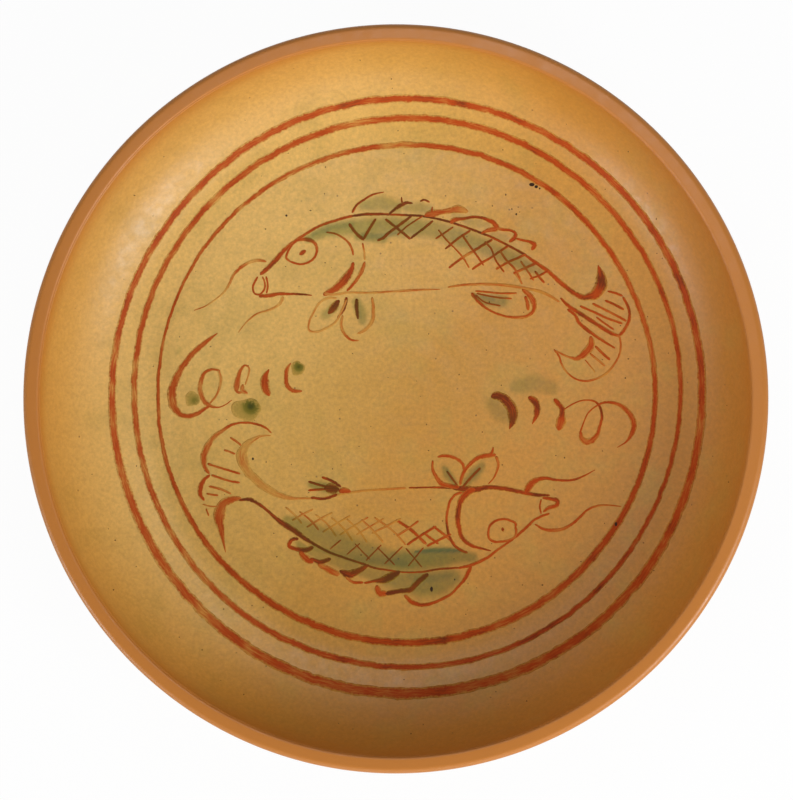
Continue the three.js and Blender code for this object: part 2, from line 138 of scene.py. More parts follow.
def turned(profile, segments):
    """The profile's (radius, height) points carried round the axis. A profile that starts and ends on the
    axis gets a single point there; any other closes on itself."""
    on_axis = profile[0, 0] == 0
    ring = profile[1:-1] if on_axis else profile
    angle = np.arange(segments) * TURN / segments
    radius = ring[:, 0][:, None]
    height = np.broadcast_to(ring[:, 1][:, None], (len(ring), segments))
    points = np.stack([radius * np.cos(angle), radius * np.sin(angle), height], axis=-1).reshape(-1, 3)
    faces = strip(len(ring), segments, not on_axis, True).tolist()
    if on_axis:
        here = np.arange(segments)
        following = (here + 1) % segments
        first, last = len(points), len(points) + 1
        end = (len(ring) - 1) * segments
        faces += np.stack([following, here, np.full(segments, first)], axis=-1).tolist()
        faces += np.stack([end + here, end + following, np.full(segments, last)], axis=-1).tolist()
        poles = [[0, 0, profile[0, 1]], [0, 0, profile[-1, 1]]]
        points = np.vstack([points, poles])
    return points, faces


def facing_out(points, faces):
    """The same faces, turned round as a whole if the volume that they enclose comes out negative."""
    corners = np.array([face[:3] for face in faces])
    a, b, c = (points[corners[:, k]] for k in range(3))
    rest = [face for face in faces if len(face) == 4]
    quads = np.array(rest)
    volume = np.einsum("ij,ij->i", a, np.cross(b, c)).sum()
    if len(rest):
        a, b, c = points[quads[:, 0]], points[quads[:, 2]], points[quads[:, 3]]
        volume += np.einsum("ij,ij->i", a, np.cross(b, c)).sum()
    return faces if volume > 0 else [face[::-1] for face in faces]


def arc(centre, radius, start, end, steps):
    """Points at a radius from a centre, by angles that run from straight down, through outwards, to up."""
    angle = np.linspace(start, end, steps)
    return centre + radius * np.stack([np.sin(angle), -np.cos(angle)], axis=-1)


# The glazed surface


def sweep_height(radius):
    """Height of the finished inside at a radius: the flat floor, then the round of the cavetto."""
    across = np.clip(radius - floor_radius, 0, cavetto_radius)
    return sweep_z - np.sqrt(cavetto_radius**2 - across**2)


def floor_sag(radius):
    """How far the floor's middle sinks, as a thrown floor does in drying: a shallow bowl out to its edge."""
    return middle_sag * (1 - np.clip(radius / floor_radius, 0, 1) ** 2)


def throwing_waves(x, y):
    """The slight unevenness that a thrower's hand leaves: the sunk floor, broad swells, and low rings that
    fade to the lip."""
    radius = np.hypot(x, y)
    swells = swell_height * np.sin(x / 31 + 1) * np.cos(y / 26)
    swells += ripple_height * np.sin((x + 0.6 * y) / 15)
    rings = ring_height * np.cos(TURN * radius / ring_spacing + 0.8 * np.sin(np.arctan2(y, x)))
    fade = np.clip((rim_radius - calm_margin - radius) / calming_run, 0, 1)
    return (swells + rings) * fade - floor_sag(radius)


def on_glaze(x, y, lift):
    """Points over (x, y) that stand off the finished inside by a distance square to it."""
    radius = np.maximum(np.hypot(x, y), 1e-6)
    across = np.clip(radius - floor_radius, 0, cavetto_radius - 0.01)
    slope = across / np.sqrt(cavetto_radius**2 - across**2)
    upright = 1 / np.sqrt(1 + slope**2)
    inward = -slope * upright * lift / radius
    height = sweep_height(radius) + throwing_waves(x, y) + upright * lift
    return np.stack([x + inward * x, y + inward * y, height], axis=-1)


# The painting, in millimetres from the dish's centre, x to the right and y up: a brush stroke is its tone
# (0 thin orange, 0.5 red, 1 brown) with points (x, y, width); a pen stroke has one width all along.


def brush(tone, *points):
    return tone, np.array(points, float)


def pen(tone, width, *points):
    return tone, np.array([(x, y, width) for x, y in points], float)


UPPER_FISH = [
    # back
    brush(0.55, (-58, 51.2, 1.5), (-54.3, 54.3, 1.9), (-51.2, 57.4, 2), (-48.6, 60.6, 1.8),
          (-45.5, 63.4, 1.6), (-40.3, 67, 1.3), (-33, 71.2, 1.2), (-27.8, 73, 1.2), (-22.7, 74.5, 1.2),
          (-19, 75.2, 1.1)),
    brush(0.95, (-20, 75.1, 1), (-14.4, 75.8, 1.2), (-7, 75.8, 1.1), (0, 75.5, 1), (10, 74.8, 1),
          (18.6, 73, 1), (28.9, 69.6, 1), (39.2, 65.4, 1), (44.3, 62.8, 1), (52, 58.5, 1.1)),
    brush(0.7, (51, 59, 0.9), (56.2, 55.3, 1.4), (60.9, 52, 1.6), (65.7, 47.6, 1.8), (69.8, 44.3, 1.9),
          (73.3, 42, 2), (77, 40.8, 2.2)),
    # mouth and jaw
    brush(0.6, (-59, 50.4, 0.9), (-61, 45.5, 0.9), (-60.3, 43.5, 0.8), (-58.5, 43, 0.8), (-56.6, 44.5, 0.9),
          (-56, 47.5, 0.8), (-57, 50.4, 0.7)),
    pen(0.6, 0.9, (-55.5, 50.5), (-54.8, 47), (-55.3, 43.5)),
    brush(0.65, (-58.5, 42.3, 1.4), (-55, 42.5, 1.7), (-50, 43.2, 1.4), (-45, 43.2, 1.1), (-40, 43, 0.9),
          (-36.5, 42.6, 0.5)),
    # eye
    brush(0.5, (-45, 56.2, 0.9), (-47.1, 58.1, 1), (-46.5, 60.4, 1), (-45, 63, 1), (-42.9, 65.1, 1.2),
          (-40.3, 65.7, 1.5), (-37.2, 65.3, 1.6), (-34.9, 63.5, 1.5), (-34.4, 60.9, 1.2), (-35.7, 57.8, 1),
          (-38.3, 56, 0.9), (-41.4, 55.4, 0.9), (-45.4, 56.5, 0.9)),
    # gill
    brush(0.45, (-30.5, 68.6, 0.7), (-26.8, 67.9, 0.8), (-23.7, 66.3, 0.9), (-21.1, 64, 1), (-19.8, 61.4, 1),
          (-19.3, 59, 0.8)),
    brush(0.6, (-19.3, 56.2, 1.2), (-20.2, 53, 2.2), (-22.6, 49.1, 3.4), (-25.2, 46.5, 3.3),
          (-28.3, 44.4, 2.6), (-31.8, 42.8, 1.6)),
    pen(0.15, 0.8, (-15.5, 64), (-14.8, 60.4), (-14.6, 57)),
    brush(0.45, (-14.6, 56.4, 1), (-15.5, 53.2, 1.6), (-17.5, 49.6, 1.4), (-19.9, 46.5, 1.3), (-22, 44.4, 1)),
    # belly
    brush(0.12, (-31.5, 43.4, 1.6), (-27.8, 42.9, 1.1), (-22.6, 43.6, 1), (-12.3, 43.6, 0.9), (-4, 44, 0.9),
          (8.3, 44.7, 0.9), (16.5, 44.9, 0.4)),
    brush(0.15, (19.6, 45.8, 0.6), (25.8, 46.6, 1), (36.6, 46.9, 1.1), (47, 46, 1.1), (52, 45.1, 1.1),
          (57.3, 43.9, 1.1), (60.9, 42.4, 1.1), (65.4, 39.6, 0.7)),
    brush(0.6, (65.8, 41.2, 0.8), (69.7, 37.4, 1.5), (73.3, 35.1, 1.6), (76.4, 33.1, 1.6), (80, 30.8, 1.6),
          (84, 28.2, 1.6), (87.1, 26.4, 1.5), (90.2, 25.5, 1)),
    # tail
    brush(0.75, (74.6, 41.2, 1.6), (80, 42.5, 4), (82.3, 46, 4.6), (82.5, 50, 3.4), (81.2, 54.5, 0.4)),
    brush(0.55, (68.7, 36.6, 1), (71.8, 34.1, 1.3), (73.3, 31.3, 1.4), (75.9, 28.8, 1.4), (78.9, 26.5, 1.3),
          (82, 24.4, 1.1), (88.1, 20.6, 0.7)),
    pen(0.5, 1, (85.1, 43.9), (88.2, 43.1), (91.2, 41.9)),
    pen(0.5, 1, (84, 40.1), (87.9, 38.4), (91.7, 36.3)),
    pen(0.5, 1, (78.9, 38.9), (86.6, 35), (92.7, 31.7)),
    pen(0.45, 1, (73.8, 37.9), (80, 35.1), (85, 32.8), (91.1, 30.7)),
    pen(0.4, 0.8, (80.5, 33.3), (84, 30.7), (87.6, 28.2)),
    brush(0.55, (91.3, 41.6, 1), (93.8, 36.3, 1.2), (94, 33.2, 1.3), (93, 30.2, 1.3), (91.1, 27.1, 1.3),
          (89.2, 25.2, 1)),
    brush(0.35, (89.9, 25.6, 0.8), (90.4, 22.1, 0.8), (89.7, 17.5, 0.8), (87.6, 13.9, 0.8), (85, 10.8, 0.8),
          (81.5, 8.6, 0.8), (76.4, 7.3, 0.9), (72.3, 8, 0.8), (68.7, 10.6, 0.8), (66.2, 14.4, 0.8),
          (65.2, 17.5, 0.8), (63.2, 20.2, 0.7)),
    brush(0.35, (63.6, 19.8, 0.7), (66.7, 18.2, 0.8), (69.7, 16.9, 1), (72.3, 16.4, 1.7), (74.8, 17.7, 2.6),
          (77.1, 20, 2.8), (78.4, 22.5, 2.6), (78.2, 25.6, 1.2)),
    pen(0.4, 1.1, (80, 21.5), (83, 18.5), (86.1, 15.9)),
    pen(0.35, 0.8, (77.9, 18.5), (81, 15.9), (84, 13.4)),
    pen(0.25, 0.5, (75.9, 15.9), (78, 13.4), (80, 10.8)),
    # frill along the back
    brush(0.9, (-19.8, 76.5, 1.2), (-18, 79.5, 1), (-14.9, 81.8, 0.9), (-11.2, 83.9, 0.8), (-6.6, 84.9, 0.4)),
    brush(0.9, (-4.6, 75.7, 1), (-2, 77.8, 1.3), (0.6, 79.6, 1.6), (2.6, 80.4, 1.4), (5.2, 80.2, 0.7)),
    brush(0.8, (1.2, 79.8, 1.2), (0.7, 81.2, 0.8), (0.6, 82.8, 0.4)),
    pen(0.85, 0.8, (8.3, 81), (9.9, 81.6), (12.2, 80.6)),
    brush(0.3, (10, 75, 1.5), (12.5, 75.6, 3.4), (15.6, 76.3, 2.2), (19.7, 76.9, 2), (23.9, 77.6, 3),
          (28, 76.6, 1.2)),
    brush(0.3, (13, 76.4, 1.6), (13.3, 78.8, 0.5)),
    brush(0.55, (20.7, 71.9, 2.2), (22.8, 73.4, 1.8), (25.9, 73.7, 1.3), (30, 74.4, 1.2), (33.1, 74.2, 1.2),
          (36.2, 73.2, 1.5), (38.8, 71.6, 2), (39.8, 70, 2.4), (38.6, 69.4, 2.2), (36.2, 69, 1.7),
          (33.4, 67.7, 1)),
    brush(0.5, (39.8, 69.9, 1.3), (42.4, 69.2, 1.2), (45.5, 68.8, 1.1), (47.5, 67.5, 1.4), (47.3, 66.2, 1.8),
          (44.8, 64.1, 1.2)),
    brush(0.55, (47.8, 65.5, 1.1), (50.6, 64.8, 1), (53.2, 64.2, 1.2), (55.3, 62.9, 2.1), (54, 60.8, 1.3)),
    # scales, up to the right and then up to the left
    pen(0.75, 1.1, (-6.1, 73.8), (0, 69), (4.2, 65.5)),
    pen(0.45, 0.7, (15.8, 69.3), (19.1, 65.1), (22.7, 61.5), (26.5, 57), (28.4, 53.6)),
    pen(0.6, 0.9, (25.4, 67.4), (28.4, 63), (31.2, 59.2), (34.4, 54.6)),
    pen(0.6, 0.8, (34.9, 64.4), (37.7, 61), (39.2, 57), (42.8, 51.8)),
    pen(0.45, 0.9, (41, 60.6), (44.4, 55.9), (47.2, 53), (49.4, 49)),
    pen(0.5, 0.8, (49.5, 56.4), (52.7, 51.8), (54.9, 48.4)),
    pen(0.55, 1, (55.4, 52.2), (57.3, 49.6), (59.3, 47.3)),
    pen(0.2, 0.8, (46.6, 51.9), (48.5, 49.7), (50.2, 46.9)),
    pen(0.8, 1.2, (5, 75.2), (0, 71.5), (-5.6, 67.3), (-7.4, 65.4)),
    pen(0.8, 1, (13.6, 73), (8.3, 68.8), (4.2, 65.7)),
    pen(0.6, 0.8, (21.9, 70.4), (18.6, 68.2), (14.6, 65.6)),
    pen(0.7, 1, (29, 69), (23.8, 65.6), (18.6, 61.4)),
    pen(0.65, 1.1, (38, 65.2), (34.1, 63), (30.5, 60.7), (25.8, 57.9), (20, 53.6)),
    pen(0.6, 1, (44.6, 62.6), (41.3, 60.5), (37.7, 58), (33.6, 55.7), (29.6, 53)),
    pen(0.6, 1, (51.8, 59.2), (48, 57.4), (44.4, 55.9), (39.4, 53)),
    pen(0.55, 1.1, (56, 55.6), (51.6, 53.5), (46.6, 51.3)),
    pen(0.5, 0.9, (60.6, 52.3), (57.3, 50.4), (53.3, 49)),
    pen(0.9, 1.3, (-21.1, 72), (-18, 67.9), (-14.9, 65.2)),
    pen(0.85, 1.1, (-10, 74), (-13.3, 68.7), (-15.2, 65.4)),
    pen(0.9, 1.1, (-3.8, 69), (-7.1, 66), (-9.4, 65)),
    pen(0.5, 0.7, (9.4, 75), (2.4, 70.4), (-1.2, 67.2)),
    # fins below
    pen(0, 0.9, (-26.2, 41.3), (-29.4, 41.6), (-33, 39.8), (-36.1, 35.1), (-37.7, 31.5), (-37.7, 28.2),
        (-34.6, 27.6), (-30.9, 28.9), (-26.8, 31.5), (-24.2, 36.1), (-22.1, 40.8)),
    brush(0.95, (-25.2, 40.6, 1.6), (-27.8, 37.1, 2.8), (-29.8, 35, 1.2)),
    brush(0.9, (-22.1, 41.8, 1.4), (-23.1, 37.1, 1.2), (-25.9, 33.2, 0.9)),
    brush(0.25, (-11.6, 41.8, 1), (-11.1, 38, 1.3), (-11.8, 31.5, 1.5), (-14.4, 28.4, 1.3),
          (-17.6, 26.8, 0.8)),
    brush(0.2, (-23.8, 34.4, 0.9), (-24.4, 30.4, 1.2), (-22.7, 26.3, 1.2), (-20.1, 24.2, 0.9),
          (-17, 24, 0.5)),
    brush(0.95, (-18, 41.2, 1.5), (-17.9, 37, 1.6), (-17.4, 32.8, 1)),
    brush(0.5, (29.4, 43.4, 1.5), (32.5, 39.6, 1.3), (35.6, 37, 1), (39.7, 34.9, 0.9), (44.4, 33.6, 1),
          (48.5, 33.3, 1.3), (52.1, 33.9, 1.4), (54.7, 35.9, 1.5), (55.2, 38.5, 2), (53.7, 41.6, 2.2),
          (50.2, 45, 1.3)),
    pen(0.45, 1.4, (51.4, 42), (52.4, 39), (52.6, 36.2)),
    pen(0.4, 0.8, (31, 44.2), (36.1, 43.7), (41.3, 43.2), (48, 43.2)),
    pen(0.5, 0.7, (31.5, 43.2), (39.2, 41.6), (45.9, 41)),
    pen(0.5, 0.7, (31, 42.6), (34.1, 40), (41.3, 38)),
    # barbels
    brush(0.2, (-55.4, 56.6, 0.8), (-58.5, 57.1, 1.3), (-61.6, 56.6, 1.4), (-65.8, 54.3, 1.4),
          (-68.9, 51.2, 1.2), (-71, 47, 1), (-73.6, 43.4, 0.8), (-76.7, 40.9, 0.7), (-80.3, 38.5, 0.6),
          (-85.5, 36.5, 0.3)),
    brush(0.15, (-48.4, 42.2, 1.4), (-49.7, 39.3, 1.2), (-52.3, 37.5, 1), (-55.4, 36.2, 0.9),
          (-59, 35.2, 0.8), (-62.1, 33.1, 0.7), (-64.7, 30.5, 0.5), (-67.1, 27.4, 0.3)),
]
UPPER_FISH_PUPIL = [brush(0.6, (-41.6, 59.3, 1.2), (-40.4, 60.2, 2), (-39, 61.1, 1.3))]

LOWER_FISH = [
    # belly, which lies uppermost
    brush(0, (-62, -32, 1), (-58.9, -35, 1.2), (-55.2, -37.5, 1.2), (-50.6, -39.6, 1.1), (-44.9, -40.9, 1),
          (-38.7, -40.9, 0.9), (-31, -40.7, 0.9), (-26.3, -39.6, 0.9), (-15.5, -37.8, 0.9),
          (-7.7, -37.2, 0.9), (2.4, -36.6, 0.9)),
    brush(0.85, (3.6, -36.5, 0.7), (14.5, -36.3, 0.9), (20.7, -36.4, 1.3), (27.3, -37, 2.6), (31.9, -37, 2.2),
          (35, -36.3, 1.8), (43.2, -36.8, 1.8), (47.8, -37.7, 1.7), (52.9, -38.7, 1.6), (57, -39.3, 1.4),
          (61.5, -39.4, 0.9)),
    # mouth
    brush(0.7, (58.5, -40.4, 0.9), (62.1, -40.9, 1.6), (64.7, -41.9, 2), (64.2, -43.4, 1.8),
          (61.1, -44.5, 1.5), (58.8, -46.2, 0.9)),
    pen(0.6, 0.7, (58, -41), (57.4, -44), (58, -47)),
    # back
    brush(0.5, (61.4, -46.8, 0.9), (58, -48, 1), (55, -49.6, 1.1), (51.9, -52.6, 1.2), (46.4, -57.3, 1.2)),
    brush(0.35, (46.8, -57, 1), (43.7, -59.3, 1), (40.1, -61.8, 1), (36, -64.9, 1.2), (31.9, -67, 1.3),
          (27.8, -68.5, 1.3), (23.7, -69.3, 1)),
    brush(0.75, (24.2, -69.2, 0.9), (14.5, -70, 0.8), (10.4, -70.8, 0.8), (0, -71, 0.7), (-5.1, -70.3, 0.8),
          (-10.3, -69.5, 0.9), (-16, -67.5, 0.9)),
    brush(0.95, (-15, -67.9, 0.9), (-20.6, -66.1, 0.9), (-31, -62.3, 1.1), (-36.1, -59.4, 1.3),
          (-40.3, -56.9, 1.7), (-44.4, -53.8, 2.2), (-48.5, -51.4, 2.2), (-52.1, -48.6, 1.5),
          (-55.2, -45.8, 1.3), (-58.9, -43.2, 1.4), (-62, -41.6, 1.5), (-66.8, -41.7, 1)),
    # gill
    brush(0.75, (31, -37.2, 2), (29.2, -37.5, 3), (27.3, -38.8, 2.7), (25.2, -41.4, 2.4), (24.2, -44.5, 2.2),
          (23.8, -48.5, 2.1), (24.2, -52.6, 2), (25.2, -56.2, 1.8), (27.3, -58.8, 1.6), (29.9, -60.3, 1.3),
          (32.9, -61.1, 1), (37.4, -62.2, 0.5)),
    pen(0.65, 1.1, (25.7, -38.3), (22.7, -39.3), (20.9, -41.4), (19.8, -44.5), (19.2, -48.5), (19.4, -52.6),
        (20.4, -56.7), (22.2, -59.8), (24.7, -61.8), (27.8, -63.1)),
    # eye
    pen(0.5, 1, (47.3, -52.6), (47.6, -51.2), (45.2, -49.7), (42.2, -49.2), (39.1, -50.1), (37, -51.9),
        (36.3, -54.7), (36.8, -57.3), (38.6, -58.4), (41.7, -58.4), (44.7, -57.8), (47.3, -56.2),
        (47.8, -54.2), (47.3, -52.2)),
    # fins above
    brush(0.5, (24.7, -35.3, 1.3), (25.2, -32.7, 1.3), (26.8, -29.1, 1.4), (29.3, -26.3, 1.6),
          (32.4, -24, 1.8), (36, -23.2, 1.9), (39.4, -22.8, 1.4)),
    brush(0.55, (37.2, -23, 1.7), (38, -21.4, 1.1), (38.3, -19.7, 0.4)),
    brush(0.4, (39.4, -23.4, 1.2), (40.4, -26.5, 1.1), (39.8, -29.6, 0.9), (38.3, -32.7, 0.7),
          (36.3, -34.8, 0.4)),
    brush(0.55, (24.4, -36.2, 1.6), (20.5, -35.8, 1.9), (17, -34.7, 2), (15, -32.2, 1.6), (13.4, -28.6, 1.2),
          (13.4, -25.3, 0.8)),
    brush(0.5, (15.4, -23.8, 0.8), (18, -23.3, 1.3), (21.6, -23.9, 1.3), (23.7, -24.8, 1.3),
          (25.7, -26.6, 1.3), (26.4, -29.6, 0.9)),
    pen(0.75, 0.8, (19.2, -29.6), (21.6, -32.8), (24, -36.2)),
    pen(0.75, 1, (33.1, -28.2), (28.3, -33.2), (25.5, -36.5)),
    pen(0.9, 1.2, (-32.4, -32.2), (-28.9, -33.4), (-24.4, -36.2)),
    pen(0.9, 1, (-38, -34), (-33, -35.5), (-26.2, -36.9)),
    pen(0.9, 1, (-38, -37.7), (-33, -37.3), (-26.2, -37)),
    pen(0.85, 1.2, (-37, -40.7), (-31, -41), (-26, -39.3)),
    brush(0.95, (-31.4, -36.6, 2.2), (-28, -37, 4), (-25.2, -37.2, 2.4)),
    brush(0.5, (-25.4, -38, 2), (-23, -37.8, 2.8), (-20.4, -38.2, 1.2)),
    # tail
    brush(0.4, (-53.3, -14.1, 0.6), (-55.9, -11.8, 1), (-60.1, -10.3, 1), (-65.3, -9.8, 1),
          (-70, -10.8, 1.1), (-74.1, -13.4, 1.5), (-77.8, -16.4, 2.1), (-80.4, -20.6, 2.6),
          (-81.4, -24.7, 2.4), (-81.1, -27.8, 1.8), (-79.2, -31, 1.1)),
    brush(0.08, (-53.6, -15.1, 0.5), (-58, -15.4, 1), (-61.1, -17, 1.8), (-64.2, -19.6, 3), (-65.5, -22.6, 4),
          (-65, -26.2, 4), (-63.2, -29.9, 3.3), (-59.5, -33.5, 3), (-55.9, -36.5, 3), (-51.7, -38.9, 2.4),
          (-47.6, -40.4, 2), (-42.4, -41.3, 1)),
    pen(0.4, 0.9, (-73.1, -21.1), (-70.9, -21.7), (-68.3, -22.8)),
    pen(0.4, 0.9, (-70.5, -15.9), (-68.4, -17.2), (-65.9, -19.2)),
    pen(0.45, 1, (-79.9, -26.8), (-74.1, -28.6), (-66.3, -30.9)),
    pen(0.5, 1, (-78.3, -31.4), (-72, -33.5), (-66.4, -34.6)),
    brush(0.5, (-78.8, -31.4, 1), (-81.4, -33.5, 1.6), (-82.7, -36.6, 2), (-82.7, -39.7, 1.8),
          (-81.2, -42, 1)),
    pen(0.2, 0.6, (-81.9, -43.5), (-78.8, -44.3), (-75.7, -44.5)),
    pen(0.3, 0.8, (-80.4, -45.3), (-79.9, -46.8), (-79.3, -48.4)),
    pen(0.4, 1, (-79.3, -36.1), (-74.1, -37.4), (-70, -39.2)),
    pen(0.4, 0.9, (-80.3, -39.1), (-78, -39.5), (-75.4, -39.8)),
    brush(0.45, (-65.9, -40.9, 1.4), (-70, -41.7, 2.6), (-73.1, -43.2, 3.6), (-74.6, -46.3, 4.2),
          (-74.9, -49.9, 3.8), (-74.1, -54.1, 2.5), (-73.3, -58.7, 1.2), (-72.3, -63.3, 0.3)),
    # frill below
    brush(0.95, (-42, -57.5, 1.4), (-44.9, -58.2, 1.6), (-46, -60.4, 1.7), (-42.9, -61.8, 1.8),
          (-38.7, -62.3, 2), (-35.8, -61, 1.4)),
    brush(0.55, (-41.5, -62.8, 1.8), (-38.7, -65.9, 2.8), (-35.8, -67.2, 2)),
    brush(0.95, (-37, -65.6, 1.3), (-33, -67.2, 1.9), (-28.6, -65.7, 1.5)),
    brush(0.35, (-34, -68, 1.4), (-28.9, -70.6, 2.6), (-25, -72.4, 1.8)),
    brush(0.95, (-25, -70.7, 1.4), (-20.6, -72.2, 3.2), (-18, -71.1, 2.5), (-13, -68.2, 1.2)),
    pen(0.35, 1.2, (-22.4, -73), (-19.6, -75.3), (-15.2, -75.4)),
    brush(0.95, (-14.8, -75.7, 1), (-10.3, -74.8, 1.3), (-6.2, -74.2, 2.9), (-4.1, -73.2, 3.2),
          (0, -70.8, 1.4)),
    brush(0.4, (-9.8, -76.6, 1.8), (-8.2, -79.9, 2.6), (-5.1, -79.9, 2.3)),
    brush(0.8, (-6, -80, 1.8), (0, -78.9, 1.9), (4.2, -78.3, 2), (7.3, -75.2, 2.1), (11.6, -71.8, 1.8)),
    brush(0.5, (1.8, -80.5, 1.4), (5.2, -83.5, 1.9), (9.3, -84.5, 1.5), (14, -83.5, 1.3), (18.6, -81.4, 1.2),
          (20.7, -80.2, 1.2), (23.7, -77.2, 1.1), (26.8, -73.6, 1.5), (28.3, -70.5, 1.8), (29.4, -68.2, 1.2)),
    # scales, down to the right and then down to the left
    pen(0.15, 0.8, (-10.6, -48.7), (-2, -55.1), (2.3, -59.9)),
    pen(0.55, 1.3, (-1.7, -49.7), (4.2, -53.5), (10.8, -59.6)),
    pen(0.55, 1.1, (13.6, -52.2), (18.7, -56.1), (22.6, -59.6)),
    pen(0.05, 0.8, (-15.9, -49.6), (-11.3, -54), (-6.9, -59)),
    pen(0.55, 1.1, (9.5, -54.8), (15.8, -59.5)),
    pen(0.15, 0.8, (0.4, -49.1), (-5.1, -52), (-11.7, -55.3)),
    pen(0.3, 0.9, (7.6, -50.1), (3.7, -53), (-1.4, -56.3)),
    pen(0.55, 1.1, (14.9, -52.2), (9.3, -55.6), (2.8, -59.9)),
    pen(0.55, 1.1, (21, -55.4), (16.6, -57.6), (11, -60.4)),
    pen(-0.05, 0.7, (-22, -49.4), (-17, -54.2), (-13.6, -59)),
    pen(-0.05, 0.7, (-28.4, -48.8), (-23, -53.6), (-19.6, -58.4)),
    pen(-0.05, 0.7, (-35, -47.6), (-30, -51.6), (-26.4, -56.6)),
    pen(0.05, 0.8, (-41.6, -46.4), (-37, -50), (-33.6, -54)),
    pen(0.05, 0.8, (-47.4, -44.6), (-43.4, -48), (-40.6, -51.4)),
    pen(0, 0.7, (-6.8, -49.2), (-11.6, -52), (-18, -55.8)),
    pen(-0.05, 0.7, (-13.2, -48.6), (-19, -52.2), (-25, -56)),
    pen(-0.05, 0.7, (-20.6, -48), (-26, -51.2), (-32, -54.8)),
    pen(0.05, 0.8, (-28, -46.8), (-33, -49.4), (-38.6, -52.8)),
    pen(0.05, 0.8, (-36, -45.4), (-40, -47.4), (-44.6, -50)),
    pen(0.6, 0.6, (-7.8, -60), (-14, -66.4)),
    pen(0.6, 0.6, (1, -60.6), (-6.4, -67.8)),
    pen(0.6, 0.6, (9.6, -61), (3.4, -68.6)),
    pen(0.6, 0.6, (-16.6, -59.4), (-22, -64)),
    pen(0.6, 0.6, (-24.4, -58), (-29, -61.8)),
    pen(0.6, 0.6, (-9.4, -61), (-2.2, -68.2)),
    pen(0.6, 0.6, (2.4, -61.4), (9, -69)),
    pen(0.6, 0.6, (-18.6, -59.6), (-12.4, -66)),
    # barbels
    brush(0.6, (51.6, -38.6, 2.2), (53.5, -35.3, 2.8), (56, -33.2, 2.1), (59.6, -32.4, 1.4), (63.2, -33, 1.1),
          (67.3, -33.3, 1), (71.4, -33, 0.9), (75.5, -31.4, 0.7), (80, -28.9, 0.3)),
    brush(0.5, (55.4, -51.2, 0.6), (59.1, -53.2, 1.2), (63.2, -53.7, 1.4), (67.3, -52.9, 1.3),
          (70.8, -50.9, 1.2), (73.9, -48.1, 1.1), (77, -45.2, 1), (80.6, -43.7, 0.9), (85.2, -43.3, 0.7),
          (90.6, -43.8, 0.4)),
]
LOWER_FISH_PUPIL = [brush(0.7, (41.7, -53.6, 1.5), (42.3, -53.4, 2), (42.8, -53.3, 1.5))]

LEFT_WEED_CURL = [
    brush(0.5, (-75.7, 27.2, 0.3), (-78.9, 24.8, 1.4), (-82.5, 21.8, 2), (-85.6, 19.2, 2.2),
          (-88.2, 16.1, 2.3), (-90.8, 12.5, 2.6), (-92.9, 8.4, 3), (-94.5, 3.7, 3.3), (-94.7, -0.4, 3.5),
          (-93.4, -4, 3), (-91.4, -6.3, 2.3), (-88.2, -7.1, 2), (-84.6, -6.3, 1.8), (-80.9, -4, 1.4),
          (-78.4, -2.6, 1)),
    brush(0.35, (-74.6, 11.6, 0.9), (-77.8, 12.2, 1), (-80.9, 10.9, 1.4), (-82.5, 7.8, 1.8), (-83, 3.7, 2),
          (-82.2, 0.6, 2), (-80.4, -2, 1.8), (-77.8, -3.2, 1.2), (-75.2, -3.5, 0.6), (-72.6, -2.5, 0.5),
          (-69.7, -0.4, 0.3)),
    brush(0.22, (-75.4, 12, 1), (-74.4, 8.4, 1.4), (-75, 4.2, 1.1), (-76.8, 0.6, 0.9), (-79.2, -2.2, 0.7)),
]
LEFT_WEED_LEAF_1 = [
    brush(0.2, (-67.9, 2.8, 1.8), (-67.8, 5, 2.4), (-67.3, 7.8, 2.2), (-66, 12, 1.4), (-64.2, 13.9, 0.9),
          (-62.6, 12.7, 0.8), (-62.9, 9.9, 0.8), (-64.2, 5.8, 0.7)),
    brush(0.2, (-65.2, 6, 1.2), (-65.5, 3.6, 2), (-63.2, 2.2, 1)),
    brush(0.2, (-68.2, 3.4, 1.4), (-66.8, 2.6, 1.2), (-65, 3.2, 1.4)),
]
LEFT_WEED_LEAF_2 = [
    brush(0.5, (-54.3, 12.2, 0.4), (-55.6, 9.9, 2.2), (-56.1, 6.8, 3.4), (-55.6, 3.7, 3.2),
          (-54.1, 1.2, 1.6)),
]
LEFT_WEED_LEAF_3 = [
    brush(0.32, (-45.2, 14.8, 0.5), (-46.8, 12.5, 1.6), (-47.3, 9.4, 1.8), (-47.1, 6.3, 1.8), (-45.5, 4, 1.8),
          (-43.2, 3.2, 1.7), (-40.6, 3.2, 0.9)),
]
RIGHT_WEED_LEAF_1 = [
    brush(0.85, (37.4, 0.8, 2.2), (39.9, 1.3, 3.2), (42.7, 0, 3.5), (45, -2.5, 3.7), (46.3, -5.6, 3.8),
          (46.3, -8.6, 3), (44.9, -12.4, 0.5)),
]
RIGHT_WEED_LEAF_2 = [
    brush(0.75, (52.7, 0.8, 1.8), (54.9, -0.7, 2.6), (56.2, -3, 2.6), (56.2, -6, 2.2), (54.3, -10.3, 0.4)),
]
